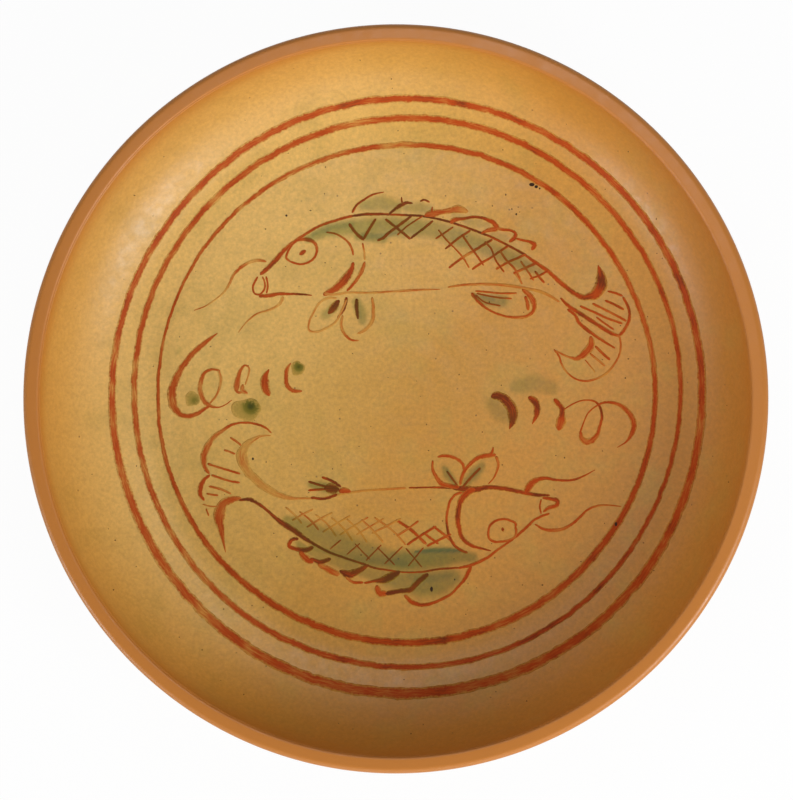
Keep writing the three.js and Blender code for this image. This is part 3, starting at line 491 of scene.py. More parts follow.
RIGHT_WEED_CURL = [
    brush(0.7, (63.2, 0, 1.6), (64.8, -1.7, 2), (66.4, -4, 2), (66.4, -6.6, 2.3), (65.9, -9.7, 3.8),
          (65, -12.9, 1.8)),
    brush(0.55, (67.2, -4.4, 0.6), (70.7, -2.2, 0.6), (73.8, -0.9, 0.6), (77.3, -0.5, 0.7), (80.4, -1.4, 0.9),
          (82.2, -4, 1), (82.7, -7.6, 1.1), (81.9, -11.2, 1.3), (80.7, -14.7, 1.7), (78.6, -17, 2.2),
          (76.3, -17.6, 2.4), (74.5, -16, 2), (74, -13, 0.9)),
    brush(0.55, (74, -13.4, 0.8), (75.3, -9.7, 0.6), (77.3, -5.6, 0.6), (80.4, -3, 0.7), (83.4, -1.6, 1),
          (87, -1.6, 1.3), (90.6, -2.8, 1.6), (93.6, -5.6, 2), (95.4, -8.6, 2.2), (95.7, -11.7, 2.2),
          (94.6, -14.7, 1.6), (92.6, -17.5, 0.8), (89, -19.8, 0.3)),
]

# Thin green washes: a strength with points (x, y, width) along the middle of each wet patch
WASHES = [
    (0.8, [(-38, 66, 4), (-30, 69.4, 7), (-20, 70.6, 8), (-10, 70.6, 10), (0, 70.6, 10), (8, 70.4, 9)]),
    (0.65, [(8, 70.4, 9), (16, 69, 9), (24, 66.4, 9), (32, 63.4, 9), (40, 60, 8), (48, 56.4, 7),
     (57, 52, 4)]),
    (0.6, [(-15, 79.4, 5), (-8, 80.4, 8), (-1, 79, 6)]),
    (0.6, [(3, 78.4, 4), (8, 78.4, 6), (12, 78, 4)]),
    (0.35, [(22, 75.6, 3), (30, 72, 4), (36, 71, 3)]),
    (0.35, [(38, 67, 3), (43, 66, 4)]),
    (0.85, [(-17.6, 67, 4), (-12, 66.8, 6), (-7, 66, 5)]),
    (0.6, [(-31, 34.6, 5), (-27, 38, 5)]),
    (0.65, [(-18, 39.6, 5), (-16, 35, 6), (-15.6, 32, 4)]),
    (0.7, [(31, 42.2, 3), (36, 40.4, 6), (42, 40, 6)]),
    (0.7, [(18.2, -28.4, 3), (19.6, -31.2, 5), (22.6, -34.6, 3)]),
    (0.7, [(33.6, -27.4, 4), (30.4, -30.8, 6), (27, -34.4, 4)]),
    (0.7, [(-37, -35.4, 3), (-33, -36, 5), (-27, -37.2, 5)]),
    (0.75, [(-47, -49.6, 4), (-42, -52, 8), (-34, -56, 11), (-26, -59, 12), (-18, -62, 12), (-8, -65, 11)]),
    (0.85, [(-36, -61, 4), (-28, -63.4, 5), (-18, -65.4, 9), (-8, -66, 11), (0, -66.6, 11)]),
    (0.9, [(0, -66.6, 11), (8, -66.4, 11), (16, -65.6, 10), (23, -64.6, 8), (30, -65, 5)]),
    (0.65, [(-42, -59.6, 3), (-34, -64.6, 4), (-24, -68, 5), (-14, -71.4, 6), (-2, -74.6, 8), (8, -76, 13)]),
    (0.75, [(8, -76, 13), (16, -75.6, 13), (22, -73, 8)]),
    (0.5, [(38, -2, 7), (41, -6, 8), (45, -7, 8)]),
    (0.45, [(48, 5, 7), (55, 6.4, 9), (62, 4.6, 7)]),
    (0.3, [(-92, 19.4, 3), (-91.4, 21, 2)]),
]
DEEP_WASHES = [
    (0.9, [(6.4, -62.7, 1.4), (12, -62.2, 2.6), (20, -61.9, 2.6), (25, -62.2, 1.4)]),
    (0.3, [(-18, -66, 3), (-8, -66.6, 3.4), (2, -67.4, 3)]),
    (0.3, [(4, -72.6, 4), (12, -73.2, 5), (20, -71.6, 4)]),
    (0.35, [(-36, 67.6, 2), (-28, 70.6, 2.6), (-20, 71.6, 3)]),
    (0.4, [(-15, 67, 3), (-8, 66.6, 3), (-2, 68, 2)]),
    (0.3, [(-17.6, 37.6, 2.4), (-16.4, 33.6, 2.4)]),
    (0.35, [(32.6, -29, 1.8), (29.4, -32.4, 2)]),
    (0.45, [(19.4, -29.4, 1.6), (21.4, -33, 1.8)]),
    (0.35, [(33, 42.2, 1.6), (38, 40.6, 2.6)]),
]

# Green dots of the weed: (x, y, radius across, radius up), then the drop that pooled in it: (x, y, radius)
# and how dark it is
GREEN_DOTS = {
    "green_dot_left": (-86.1, 0, 3.3, 3.1, -85.4, -0.6, 2, 0.3),
    "green_dot_middle": (-63.7, -4.5, 6.2, 4.7, -61.9, -3, 2.6, 1.1),
    "green_dot_right": (-42.4, 12.6, 2.9, 3, -42, 13.2, 1.6, 0.9),
}

# Specks where iron in the clay burnt through the glaze: (x, y, width)
SPECKS = [
    (-47, 75.5, 1.1), (-55.7, 70, 0.7), (-37, 77.5, 0.7), (-47.4, 54.5, 0.5), (-31, 56, 0.6), (47.8, 75.5, 1),
    (43.5, 83.5, 0.8), (38, 79, 0.6), (46, 77.6, 0.7), (48.6, 78.4, 0.6), (49.2, 76.4, 0.5), (35.5, 20, 0.6),
    (93.5, 16.3, 0.7), (92.3, 8.5, 0.7), (-61, -24.7, 1.2), (-55.5, -26, 0.6), (-45, -27, 0.5),
    (-28, -28.8, 0.6), (-36, -22, 0.5), (-25, -4.5, 0.5), (-17, -19.5, 0.5), (-2, -41.5, 0.6), (42, -27, 0.6),
    (67.5, -24, 0.7), (39, -65, 0.6), (22.5, -74, 0.8), (-51, -65, 0.7), (58.5, -76, 0.8),
]

# Dark knots that stand up through a band: (x, y, width)
KNOTS = [(54.2, 87.5, 1.8), (56, 86.6, 1.3), (57.4, 85.9, 0.7), (88.5, -51, 1.4), (13, -78, 1.6)]
speck_relief, knot_relief = 0.03, 0.16

# Fine specks: how many, how far from the axis they are strewn, and how wide they are
fine_specks = 150
fine_speck_reach = 139
fine_speck_width = (0.3, 0.65)

# Bands: centre (x, y), mean radius, and (angle, width), with the angle in degrees from +X towards +Y
BANDS = {
    "red_band_outer": ((2.35, 1.0), 121.4, [
        (0, 3), (60, 2.6), (120, 2.8), (165, 2.4), (200, 3), (240, 3.7), (280, 4), (320, 3.5),
    ]),
    "red_band_middle": ((2.1, 2.35), 112.5, [
        (0, 1.8), (50, 2.6), (100, 2.8), (150, 2.4), (200, 2.4), (250, 2.5), (290, 2.1), (330, 1.9),
    ]),
    "red_band_inner": ((1.75, 2.15), 102.3, [
        (0, 2), (45, 2.3), (90, 2.3), (130, 1.8), (160, 1.1), (190, 1.7), (240, 3), (310, 3),
    ]),
}

# Ribbons of enamel
relief = 0.07
sunk = 0.12
# Across a stroke: the share of the half width and the share of the relief, over the top and back underneath
ACROSS = np.array([-1.15, -1.0, -0.75, -0.35, 0.35, 0.75, 1.0, 1.15, 0.8, -0.8])
HEIGHTS = np.array([0.15, 0.5, 0.9, 1.0, 1.0, 0.9, 0.5, 0.15, -1.0, -1.0])
stroke_step = 0.7
thinnest_stroke = 0.25
# A tip's roundness as a share of the width, and how blunt the very end is
tip_share = 0.55
tip_blunt = 0.08
# How much each edge of a stroke wanders, and how much the paint that it holds does, and over what length
edge_wander = 0.07
load_wander = 0.13
load_length = 6

# Washes: how far their edge reaches past half their width, and how soft it is
wash_reach = 0.62
wash_softness = 1.35


def wander(length, scale, amount, seed):
    """A slow random line over a length: values at every `scale`, joined smoothly and then sampled."""
    draw = np.random.default_rng(seed)
    knots = draw.normal(0, amount, int(length.max() / scale) + 3)
    place = length / scale
    k = np.floor(place).astype(int)
    t = place - k
    t = t * t * (3 - 2 * t)
    return knots[k] * (1 - t) + knots[k + 1] * t


def smooth_path(points):
    """A curve through (x, y, width) points: cubic stretches over the chord's length, whose slope at a point
    is that of its neighbours. Returns the length along it and the curve."""
    chord = np.concatenate([[0], np.cumsum(np.hypot(*np.diff(points[:, :2], axis=0).T))])
    slope = np.gradient(points, chord, axis=0)
    length = np.linspace(0, chord[-1], max(6, int(chord[-1] / stroke_step) + 1))
    k = np.clip(np.searchsorted(chord, length, side="right") - 1, 0, len(chord) - 2)
    span = (chord[k + 1] - chord[k])[:, None]
    t = (length - chord[k])[:, None] / span
    start, end = points[k], points[k + 1]
    curve = (2 * t**3 - 3 * t**2 + 1) * start + (t**3 - 2 * t**2 + t) * span * slope[k]
    curve += (3 * t**2 - 2 * t**3) * end + (t**3 - t**2) * span * slope[k + 1]
    return length, curve


def washed(x, y, washes):
    """How wet a patch lies over each point: its strength in the middle, and nothing past its soft edge."""
    amount = np.zeros_like(x)
    for strength, points in washes:
        spots = np.array(points, float)
        for start, end in zip(spots[:-1], spots[1:]):
            along = end[:2] - start[:2]
            t = np.clip(((x - start[0]) * along[0] + (y - start[1]) * along[1]) / (along @ along), 0, 1)
            off = np.hypot(x - start[0] - t * along[0], y - start[1] - t * along[1])
            reach = wash_reach * (start[2] + t * (end[2] - start[2]))
            soft = np.clip(wash_softness * (1 - off / reach), 0, 1)
            amount = np.maximum(amount, strength * soft * soft * (3 - 2 * soft))
    return amount


def ribbon(length, x, y, width, tone, seed, closed):
    """A flat domed section carried along a path on the glaze, with the attributes that its material reads:
    where a point lies on the stroke in millimetres, how near the edge it is, and how much paint it holds."""
    ahead = np.stack([x, y], axis=-1)
    if closed:
        along = np.roll(ahead, -1, axis=0) - np.roll(ahead, 1, axis=0)
    else:
        along = np.gradient(ahead, axis=0)
    along /= np.linalg.norm(along, axis=1)[:, None]
    half = width[:, None] / 2
    left = 1 + wander(length, 1.6, edge_wander, seed)[:, None]
    right = 1 + wander(length, 1.3, edge_wander, seed + 1)[:, None]
    offset = ACROSS[None, :] * half * np.where(ACROSS[None, :] < 0, left, right)
    px = x[:, None] - along[:, 1:2] * offset
    py = y[:, None] + along[:, 0:1] * offset
    stacked = relief * (1 + 0.5 * ((seed * 0.37) % 1))
    lift = np.where(HEIGHTS > 0, HEIGHTS * stacked, HEIGHTS * sunk)[None, :] * np.ones_like(px)
    points = on_glaze(px, py, lift).reshape(-1, 3)
    rows, columns = px.shape
    load = tone + wander(length, load_length, load_wander, seed + 2)
    attributes = {
        "brush": np.stack(
            [np.repeat(length, columns), offset.ravel(), np.full(px.size, seed * 3.7)], axis=-1),
        "edge": np.tile(np.abs(ACROSS), rows),
        "tone": np.repeat(load, columns),
        "wash": washed(px.ravel(), py.ravel(), WASHES),
        "deep_wash": washed(px.ravel(), py.ravel(), DEEP_WASHES),
    }
    return points, rows, columns, attributes


def painted(name, strokes, seed):
    """All strokes of one figure as one piece: each tube of enamel is closed at both ends."""
    every_point, every_face, layers, count = [], [], [], 0
    for number, (tone, drawn) in enumerate(strokes):
        length, curve = smooth_path(drawn)
        width = np.maximum(curve[:, 2], thinnest_stroke)
        end_room = np.minimum(length, length[-1] - length) + tip_blunt
        round_end = np.clip(end_room / (tip_share * width), 0, 1)
        width = width * np.sqrt(1 - (1 - round_end) ** 2)
        own = seed + 11 * number
        points, rows, columns, attributes = ribbon(length, curve[:, 0], curve[:, 1], width, tone, own, False)
        every_face.append(strip(rows, columns, False, True, count))
        for row in (0, rows - 1):
            first = count + row * columns
            ends = [(k, k + 1, columns - 2 - k, columns - 1 - k) for k in range(columns // 2 - 1)]
            turn = 1 if row else -1
            every_face.append(np.array(ends)[:, ::turn] + first)
        every_point.append(points)
        layers.append(attributes)
        count += len(points)
    points = np.vstack(every_point)
    merged = {key: np.concatenate([layer[key] for layer in layers]) for key in layers[0]}
    return make_piece(name, points, facing_out(points, np.vstack(every_face).tolist()), merged)


def painted_band(name, centre, radius, widths, seed):
    """A band drawn while the wheel turns: a closed ribbon whose radius and width waver with the hand."""
    segments = 900
    angle = np.arange(segments) * TURN / segments
    clock = np.radians([degrees for degrees, _ in widths] + [360])
    drawn = np.array([width for _, width in widths] + [widths[0][1]])
    width = np.interp(angle, clock, drawn)
    smoothing = np.hanning(91)
    width = np.convolve(np.tile(width, 3), smoothing / smoothing.sum(), "same")[segments : 2 * segments]
    length = angle * radius
    closing = np.minimum(1, (length[-1] - length) / 12)
    waver = 0.25 * np.sin(2 * angle + seed) + 0.18 * np.sin(5 * angle + 2 * seed)
    edge_noise = wander(length, 3.0, 0.1, seed + 5) * closing
    reach = radius + waver + edge_noise
    x = centre[0] + reach * np.cos(angle)
    y = centre[1] + reach * np.sin(angle)
    tone = 0.5 + 0.1 * np.cos(angle + seed)
    points, rows, columns, attributes = ribbon(length, x, y, width, tone, seed, True)
    faces = strip(rows, columns, True, True).tolist()
    return make_piece(name, points, facing_out(points, faces), attributes)


def patch(name, x, y, across, up, drop_x, drop_y, drop_radius, darkness):
    """A low dome of thin enamel on the glaze: rings of points from its middle to an uneven edge, with a drop
    that is darkest in its middle."""
    rings, segments = 14, 64
    angle = np.arange(segments) * TURN / segments
    share = np.linspace(0, 1, rings)[1:, None]
    uneven = 1 + 0.08 * np.sin(3 * angle + x) + 0.05 * np.sin(5 * angle + y)
    px = x + across * share * uneven * np.cos(angle)
    py = y + up * share * uneven * np.sin(angle)
    top = on_glaze(px, py, relief * (1 - share**2) * np.ones_like(px) + 0.005)
    under = on_glaze(px[-1], py[-1], np.full(segments, -sunk))
    middle = on_glaze(np.array([x, x]), np.array([y, y]), np.array([relief + 0.005, -sunk]))
    points = np.vstack([top.reshape(-1, 3), under, middle])
    faces = strip(rings, segments, False, True).tolist()
    here = np.arange(segments)
    following = (here + 1) % segments
    last_ring = (rings - 1) * segments
    first = len(points) - 2
    faces += np.stack([following, here, np.full(segments, first)], axis=-1).tolist()
    bottom = np.full(segments, first + 1)
    faces += np.stack([last_ring + here, last_ring + following, bottom], axis=-1).tolist()
    edge = np.concatenate([np.repeat(share.ravel(), segments), np.ones(segments), [0, 1]])
    off = np.hypot(points[:, 0] - drop_x, points[:, 1] - drop_y) / drop_radius
    layers = {"edge": edge, "tone": darkness * np.exp(-(off**2))}
    return make_piece(name, points, facing_out(points, faces), layers)


def speck_field(name):
    """Every iron speck as a tiny flat dome of 10 sides that breaks through the glaze: the ones that stand
    out, fine ones strewn evenly over the inside, and the knots, which stand higher."""
    sides = 10
    angle = np.arange(sides) * TURN / sides
    draw = np.random.default_rng(7)
    reach = fine_speck_reach * np.sqrt(draw.uniform(0, 1, fine_specks))
    turn = draw.uniform(0, TURN, fine_specks)
    width = draw.uniform(*fine_speck_width, fine_specks)
    strewn = np.stack([reach * np.cos(turn), reach * np.sin(turn), width], axis=-1)
    every_point, faces = [], []
    plain = len(SPECKS) + len(strewn)
    for number, (x, y, width) in enumerate(np.vstack([SPECKS, strewn, KNOTS])):
        lift = speck_relief if number < plain else knot_relief
        squash = 1 + 0.25 * math.sin(7 * number)
        rim_x = x + width / 2 * squash * np.cos(angle)
        rim_y = y + width / 2 / squash * np.sin(angle)
        inner = on_glaze(x + 0.6 * (rim_x - x), y + 0.6 * (rim_y - y), np.full(sides, lift))
        outer = on_glaze(rim_x, rim_y, np.full(sides, lift - 0.05))
        under = on_glaze(rim_x, rim_y, np.full(sides, -sunk))
        first = number * 3 * sides
        every_point += [inner, outer, under]
        faces += strip(3, sides, False, True, first).tolist()
        faces.append(list(range(first + sides - 1, first - 1, -1)))
        faces.append(list(range(first + 2 * sides, first + 3 * sides)))
    points = np.vstack(every_point)
    return make_piece(name, points, [list(face) for face in faces])


# Clay and glaze, turned on the wheel


def glazed_profile():
    """The finished inside from the axis out to the lip, spaced for the washes that it carries."""
    flat = np.linspace(0, floor_radius, 122)[:-1]
    floor = np.stack([flat, np.full_like(flat, floor_top)], axis=-1)
    return np.vstack([floor, arc(sweep_centre, cavetto_radius, 0, inner_end, 44)])


def lip_profile(inset=0.0):
    """Over the lip, from its meeting with the outside round to its meeting with the inside."""
    outer = arc(lip_outer_centre, lip_outer_fillet - inset, outer_end, math.pi, 16)
    inner = arc(lip_inner_centre, lip_inner_fillet - inset, math.pi, math.pi + inner_end, 10)
    return np.vstack([outer, inner])


def outside_profile(inset=0.0):
    """From the glaze line under the dish, along the straight underside and up the outer sweep."""
    corner = np.array([foot_radius, foot_height])
    start = arc(sweep_centre, outer_wall_radius - glaze_thickness, springing, springing, 1)[0]
    along = (start - corner) / np.linalg.norm(start - corner)
    out = np.array([along[1], -along[0]])
    line = corner + along * bare_clay_at_foot + out * (glaze_thickness - inset)
    rise = arc(sweep_centre, outer_wall_radius - inset, springing, outer_end, 48)
    share = np.linspace(0, 1, 14)[:-1, None]
    return np.vstack([line + share * (rise[0] - line), rise])


def lip_browning(points):
    """How thin and brown the glaze burnt: half of it grows up the whole wall, as the glaze ran down from it,
    and the other half comes on near the lip, 1 in all on it."""
    radius = np.hypot(points[:, 0], points[:, 1])
    depth = rim_top - points[:, 2]
    uneven = 1 + 0.3 * np.sin(3 * np.arctan2(points[:, 1], points[:, 0]) + 0.7)
    up_the_wall = np.clip(1 - depth / (rim_top - floor_top), 0, 1) ** 0.8
    near_lip = np.clip(1 - depth / (9 * uneven), 0, 1) ** 1.5
    return np.where(radius > floor_radius, 0.5 * up_the_wall + 0.5 * near_lip, 0)


def inside_piece(name):
    finished = glazed_profile()
    under_reach = np.linspace(floor_radius, 0, 24)
    under_arc = arc(sweep_centre, cavetto_radius + glaze_thickness, inner_end, 0, 12)
    under_height = floor_top - glaze_thickness - floor_sag(under_reach[1:])
    under_floor = np.stack([under_reach[1:], under_height], axis=-1)
    profile = np.vstack([finished, under_arc, under_floor])
    points, faces = turned(profile, fine_segments)
    on_top = points[:, 2] > sweep_height(np.hypot(points[:, 0], points[:, 1])) - glaze_thickness / 2
    points[:, 2] += np.where(on_top, throwing_waves(points[:, 0], points[:, 1]), 0)
    layers = {
        "wash": washed(points[:, 0], points[:, 1], WASHES),
        "deep_wash": washed(points[:, 0], points[:, 1], DEEP_WASHES),
        "browning": lip_browning(points),
    }
    return make_piece(name, points, facing_out(points, faces), layers)


def coat_piece(name, outer, inner):
    points, faces = turned(np.vstack([outer, inner[::-1]]), plain_segments)
    return make_piece(name, points, facing_out(points, faces), {"browning": lip_browning(points)})


def clay_piece(name):
    """The thrown clay under the glaze, with a spiral-turned underside inside the foot ring."""
    recess = np.linspace(0, foot_radius, 60)
    turning = np.where(recess < foot_radius - foot_wall, 0.12 * np.sin(TURN * recess / 3.2), 0)
    turning *= np.clip(recess / 6, 0, 1)
    underside = np.stack([recess, foot_height + np.abs(turning)], axis=-1)
    inside = arc(sweep_centre, cavetto_radius + glaze_thickness, inner_end, 0, 20)
    reach = np.linspace(floor_radius, 0, 24)[1:]
    floor = np.stack([reach, floor_top - glaze_thickness - floor_sag(reach)], axis=-1)
    clay = [underside, outside_profile(glaze_thickness), lip_profile(glaze_thickness)[1:], inside[1:], floor]
    points, faces = turned(np.vstack(clay), plain_segments)
    return make_piece(name, points, facing_out(points, faces))


def foot_piece(name):
    """The foot ring's section with rounded edges where it stands."""
    outer, inner = foot_radius, foot_radius - foot_wall
    lower = arc(np.array([outer - foot_draft - foot_chamfer, foot_chamfer]), foot_chamfer, math.pi / 2, 0, 6)
    other = arc(np.array([inner + foot_draft + foot_chamfer, foot_chamfer]), foot_chamfer, 0, -math.pi / 2, 6)
    section = np.vstack([[[outer, foot_height]], lower, other, [[inner, foot_height]]])
    points, faces = turned(section, plain_segments)
    return make_piece(name, points, facing_out(points, faces))


# Materials


def linear(code):
    """An sRGB hex value as linear red, green, blue and alpha."""
    shares = [int(code[k : k + 2], 16) / 255 for k in (1, 3, 5)]
    return [s / 12.92 if s <= 0.04045 else ((s + 0.055) / 1.055) ** 2.4 for s in shares] + [1.0]


def add(tree, kind, inputs=None, **settings):
    """One shader node with its settings, and its inputs given as values or as sockets to link."""
    made = tree.nodes.new("ShaderNode" + kind)
    for name, value in settings.items():
        setattr(made, name, value)
    for name, value in (inputs or {}).items():
        if isinstance(value, bpy.types.NodeSocket):
            tree.links.new(value, made.inputs[name])
        else:
            made.inputs[name].default_value = value
    return made


def new_material(name):
    material = bpy.data.materials.new(name)
    material.use_nodes = True
    material.node_tree.nodes.clear()
    return material, material.node_tree


def glaze_colour(tree, place):
    """Ochre feldspar glaze over an iron-bearing clay: broad clouds of yellow and orange, a painted sheen that
    makes the upper left paler, painted shade that makes the lower right darker, a fine grain, burnt specks, a
    browned lip and the thin green washes. Returns its colour."""
    clouds = add(tree, "TexNoise", {"Vector": place, "Scale": 1 / 0.055, "Detail": 4.0, "Roughness": 0.55})
    cloud = add(tree, "MapRange", {"Value": clouds.outputs[0], "From Min": 0.35, "From Max": 0.65})
    base = add(tree, "Mix", {0: cloud.outputs[0], 6: linear("#C79A3C"), 7: linear("#CC9235")},
               data_type="RGBA")
    # Painted light: a painted sheen makes the glaze paler towards the upper left, and painted shade makes it
    # darker towards the lower right
    side = add(tree, "VectorMath", {0: place, 1: painted_light_side}, operation="DOT_PRODUCT")
    lit_side = add(tree, "Math", {0: clouds.outputs[0], 1: painted_light_waver, 2: side.outputs["Value"]},
                operation="MULTIPLY_ADD")
    darker_share = add(tree, "MapRange", {"Value": lit_side.outputs[0], "From Min": -0.06, "From Max": 0.13,
                                     "To Min": 1.0, "To Max": 0.0})
    base = add(tree, "Mix", {0: darker_share.outputs[0], 6: base.outputs[2], 7: linear("#BE8032")},
               data_type="RGBA")
    browning = add(tree, "Attribute", attribute_name="browning")
    unbrowned = add(tree, "Math", {0: 1.0, 1: browning.outputs["Fac"]}, operation="SUBTRACT")
    # The painted sheen on the upper left, kept off the browned glaze
    pale = add(tree, "MapRange", {"Value": lit_side.outputs[0], "From Min": 0.04, "From Max": 0.13})
    painted_sheen_share = add(tree, "Math", {0: pale.outputs[0], 1: unbrowned.outputs[0]}, operation="MULTIPLY")
    base = add(tree, "Mix", {0: painted_sheen_share.outputs[0], 6: base.outputs[2], 7: linear("#E0B460")}, data_type="RGBA")
    drift = add(tree, "TexNoise", {"Vector": place, "Scale": 1 / 0.021, "Detail": 5.0, "Roughness": 0.6})
    greened = add(tree, "MapRange", {"Value": drift.outputs[0], "From Min": 0.5, "From Max": 0.75,
                                     "To Max": 0.5})
    mossy = add(tree, "Mix", {0: greened.outputs[0], 6: base.outputs[2], 7: linear("#AE913F")},
                data_type="RGBA")
    grain = add(tree, "TexNoise", {"Vector": place, "Scale": 1 / 0.0016, "Detail": 3.0, "Roughness": 0.65})
    shade = add(tree, "MapRange", {"Value": grain.outputs[0], "From Min": 0.3, "From Max": 0.7,
                                   "To Min": 0.86, "To Max": 1.12})
    grained = add(tree, "Mix", {0: 1.0, 6: mossy.outputs[2], 7: shade.outputs[0]},
                  data_type="RGBA", blend_type="MULTIPLY")
    cells = add(tree, "TexVoronoi", {"Vector": place, "Scale": 1 / 0.008})
    spot = add(tree, "MapRange", {"Value": cells.outputs["Distance"], "From Min": 0.02, "From Max": 0.065,
                                  "To Min": 1.0, "To Max": 0.0})
    chosen = add(tree, "SeparateColor", {"Color": cells.outputs["Color"]})
    few = add(tree, "Math", {0: chosen.outputs[0], 1: 0.5}, operation="GREATER_THAN")
    burnt = add(tree, "Math", {0: spot.outputs[0], 1: few.outputs[0]}, operation="MULTIPLY")
    burnt = add(tree, "Math", {0: burnt.outputs[0], 1: 0.75}, operation="MULTIPLY")
    specked = add(tree, "Mix", {0: burnt.outputs[0], 6: grained.outputs[2], 7: linear("#482608")},
                  data_type="RGBA")
    browned = add(tree, "Mix", {0: browning.outputs["Fac"], 6: specked.outputs[2], 7: linear("#BE7528")},
                  data_type="RGBA")
    wash = add(tree, "Attribute", attribute_name="wash")
    blot = add(tree, "MapRange", {"Value": drift.outputs[0], "From Min": 0.3, "From Max": 0.65,
                                  "To Min": 0.8})
    wet = add(tree, "Math", {0: wash.outputs["Fac"], 1: blot.outputs[0]}, operation="MULTIPLY")
    green = add(tree, "Mix", {0: wet.outputs[0], 6: browned.outputs[2], 7: linear("#8EAD45")},
                data_type="RGBA", blend_type="MULTIPLY")
    deep = add(tree, "Attribute", attribute_name="deep_wash")
    deeper = add(tree, "Mix", {0: deep.outputs["Fac"], 6: green.outputs[2], 7: linear("#6CA04E")},
                 data_type="RGBA", blend_type="MULTIPLY")
    return deeper.outputs[2]


def finish(tree, colour, roughness, bump_depth, place, shine=0.5):
    """The shader: satin gloss, with the orange-peel surface of a thick glaze fired a little short."""
    peel = add(tree, "TexNoise", {"Vector": place, "Scale": 1 / 0.0045, "Detail": 3.0})
    grit = add(tree, "TexNoise", {"Vector": place, "Scale": 1 / 0.0011, "Detail": 2.0})
    height = add(tree, "Mix", {0: 0.3, 2: peel.outputs[0], 3: grit.outputs[0]})
    bump = add(tree, "Bump", {"Height": height.outputs[0], "Distance": bump_depth, "Strength": 1.0})
    worn = add(tree, "MapRange", {"Value": peel.outputs[0], "From Min": 0.3, "From Max": 0.7,
                                  "To Min": roughness - 0.06, "To Max": roughness + 0.08})
    shader = add(tree, "BsdfPrincipled", {"Base Color": colour, "Roughness": worn.outputs[0], "IOR": 1.48,
                                          "Normal": bump.outputs[0], "Specular IOR Level": shine})
    add(tree, "OutputMaterial", {"Surface": shader.outputs[0]})


def satin_glaze(name):
    """Satin ochre glaze, dipped and fired: soft highlights, clouded colour with a painted sheen on the upper
    left and painted shade on the lower right.
    """
    material, tree = new_material(name)
    place = add(tree, "TexCoord").outputs["Object"]
    finish(tree, glaze_colour(tree, place), 0.4, 0.00012, place)
    return material


def brushed_enamel(name, thin, full, thick):
    """Overglaze enamel laid on with a brush: streaked along the stroke, thin at its edges, where the glaze
    shows through, and darker where it pooled."""
    material, tree = new_material(name)
    place = add(tree, "TexCoord").outputs["Object"]
    glaze = glaze_colour(tree, place)
    tone = add(tree, "Attribute", attribute_name="tone")
    along = add(tree, "Attribute", attribute_name="brush")
    stretched = add(tree, "Mapping", {"Vector": along.outputs["Vector"], "Scale": (0.22, 2.6, 1.0)})
    streaks = add(tree, "TexNoise", {"Vector": stretched.outputs[0], "Scale": 1.0, "Detail": 4.0,
                                     "Roughness": 0.6})
    streak = add(tree, "MapRange", {"Value": streaks.outputs[0], "From Min": 0.3, "From Max": 0.7,
                                    "To Min": -0.3, "To Max": 0.25})
    load = add(tree, "Math", {0: tone.outputs["Fac"], 1: streak.outputs[0]}, operation="ADD")
    grain = add(tree, "TexNoise", {"Vector": place, "Scale": 1 / 0.0009, "Detail": 3.0})
    edge = add(tree, "Attribute", attribute_name="edge")
    ragged = add(tree, "Math", {0: edge.outputs["Fac"], 1: grain.outputs[0]}, operation="ADD")
    covered = add(tree, "MapRange", {"Value": ragged.outputs[0], "From Min": 1.15, "From Max": 1.65,
                                     "To Min": 1.0, "To Max": 0.0})
    loaded = add(tree, "MapRange", {"Value": load.outputs[0], "From Min": 0.0, "From Max": 0.5})
    fuller = add(tree, "Math", {0: loaded.outputs[0], 1: covered.outputs[0]}, operation="MULTIPLY")
    thicker = add(tree, "MapRange", {"Value": load.outputs[0], "From Min": 0.6, "From Max": 1.0})
    red = add(tree, "Mix", {0: fuller.outputs[0], 6: linear(thin), 7: linear(full)}, data_type="RGBA")
    red = add(tree, "Mix", {0: thicker.outputs[0], 6: red.outputs[2], 7: linear(thick)}, data_type="RGBA")
    pooled = add(tree, "MapRange", {"Value": edge.outputs["Fac"], "From Min": 0.45, "From Max": 0.75,
                                    "To Max": 0.22})
    red = add(tree, "Mix", {0: pooled.outputs[0], 6: red.outputs[2], 7: linear(thick)}, data_type="RGBA")
    wash = add(tree, "Attribute", attribute_name="wash")
    stain = add(tree, "Math", {0: wash.outputs["Fac"], 1: 0.8}, operation="MULTIPLY")
    red = add(tree, "Mix", {0: stain.outputs[0], 6: red.outputs[2], 7: linear("#5C3A10")}, data_type="RGBA")
    body = add(tree, "MapRange", {"Value": load.outputs[0], "From Min": -0.15, "From Max": 0.25,
                                  "To Min": 0.3, "To Max": 0.94})
    soft = add(tree, "Math", {0: covered.outputs[0], 1: 0.7}, operation="POWER")
    cover = add(tree, "Math", {0: soft.outputs[0], 1: body.outputs[0]}, operation="MULTIPLY")
    colour = add(tree, "Mix", {0: cover.outputs[0], 6: glaze, 7: red.outputs[2]}, data_type="RGBA")
    finish(tree, colour.outputs[2], 0.55, 0.00012, place, 0.12)
    return material


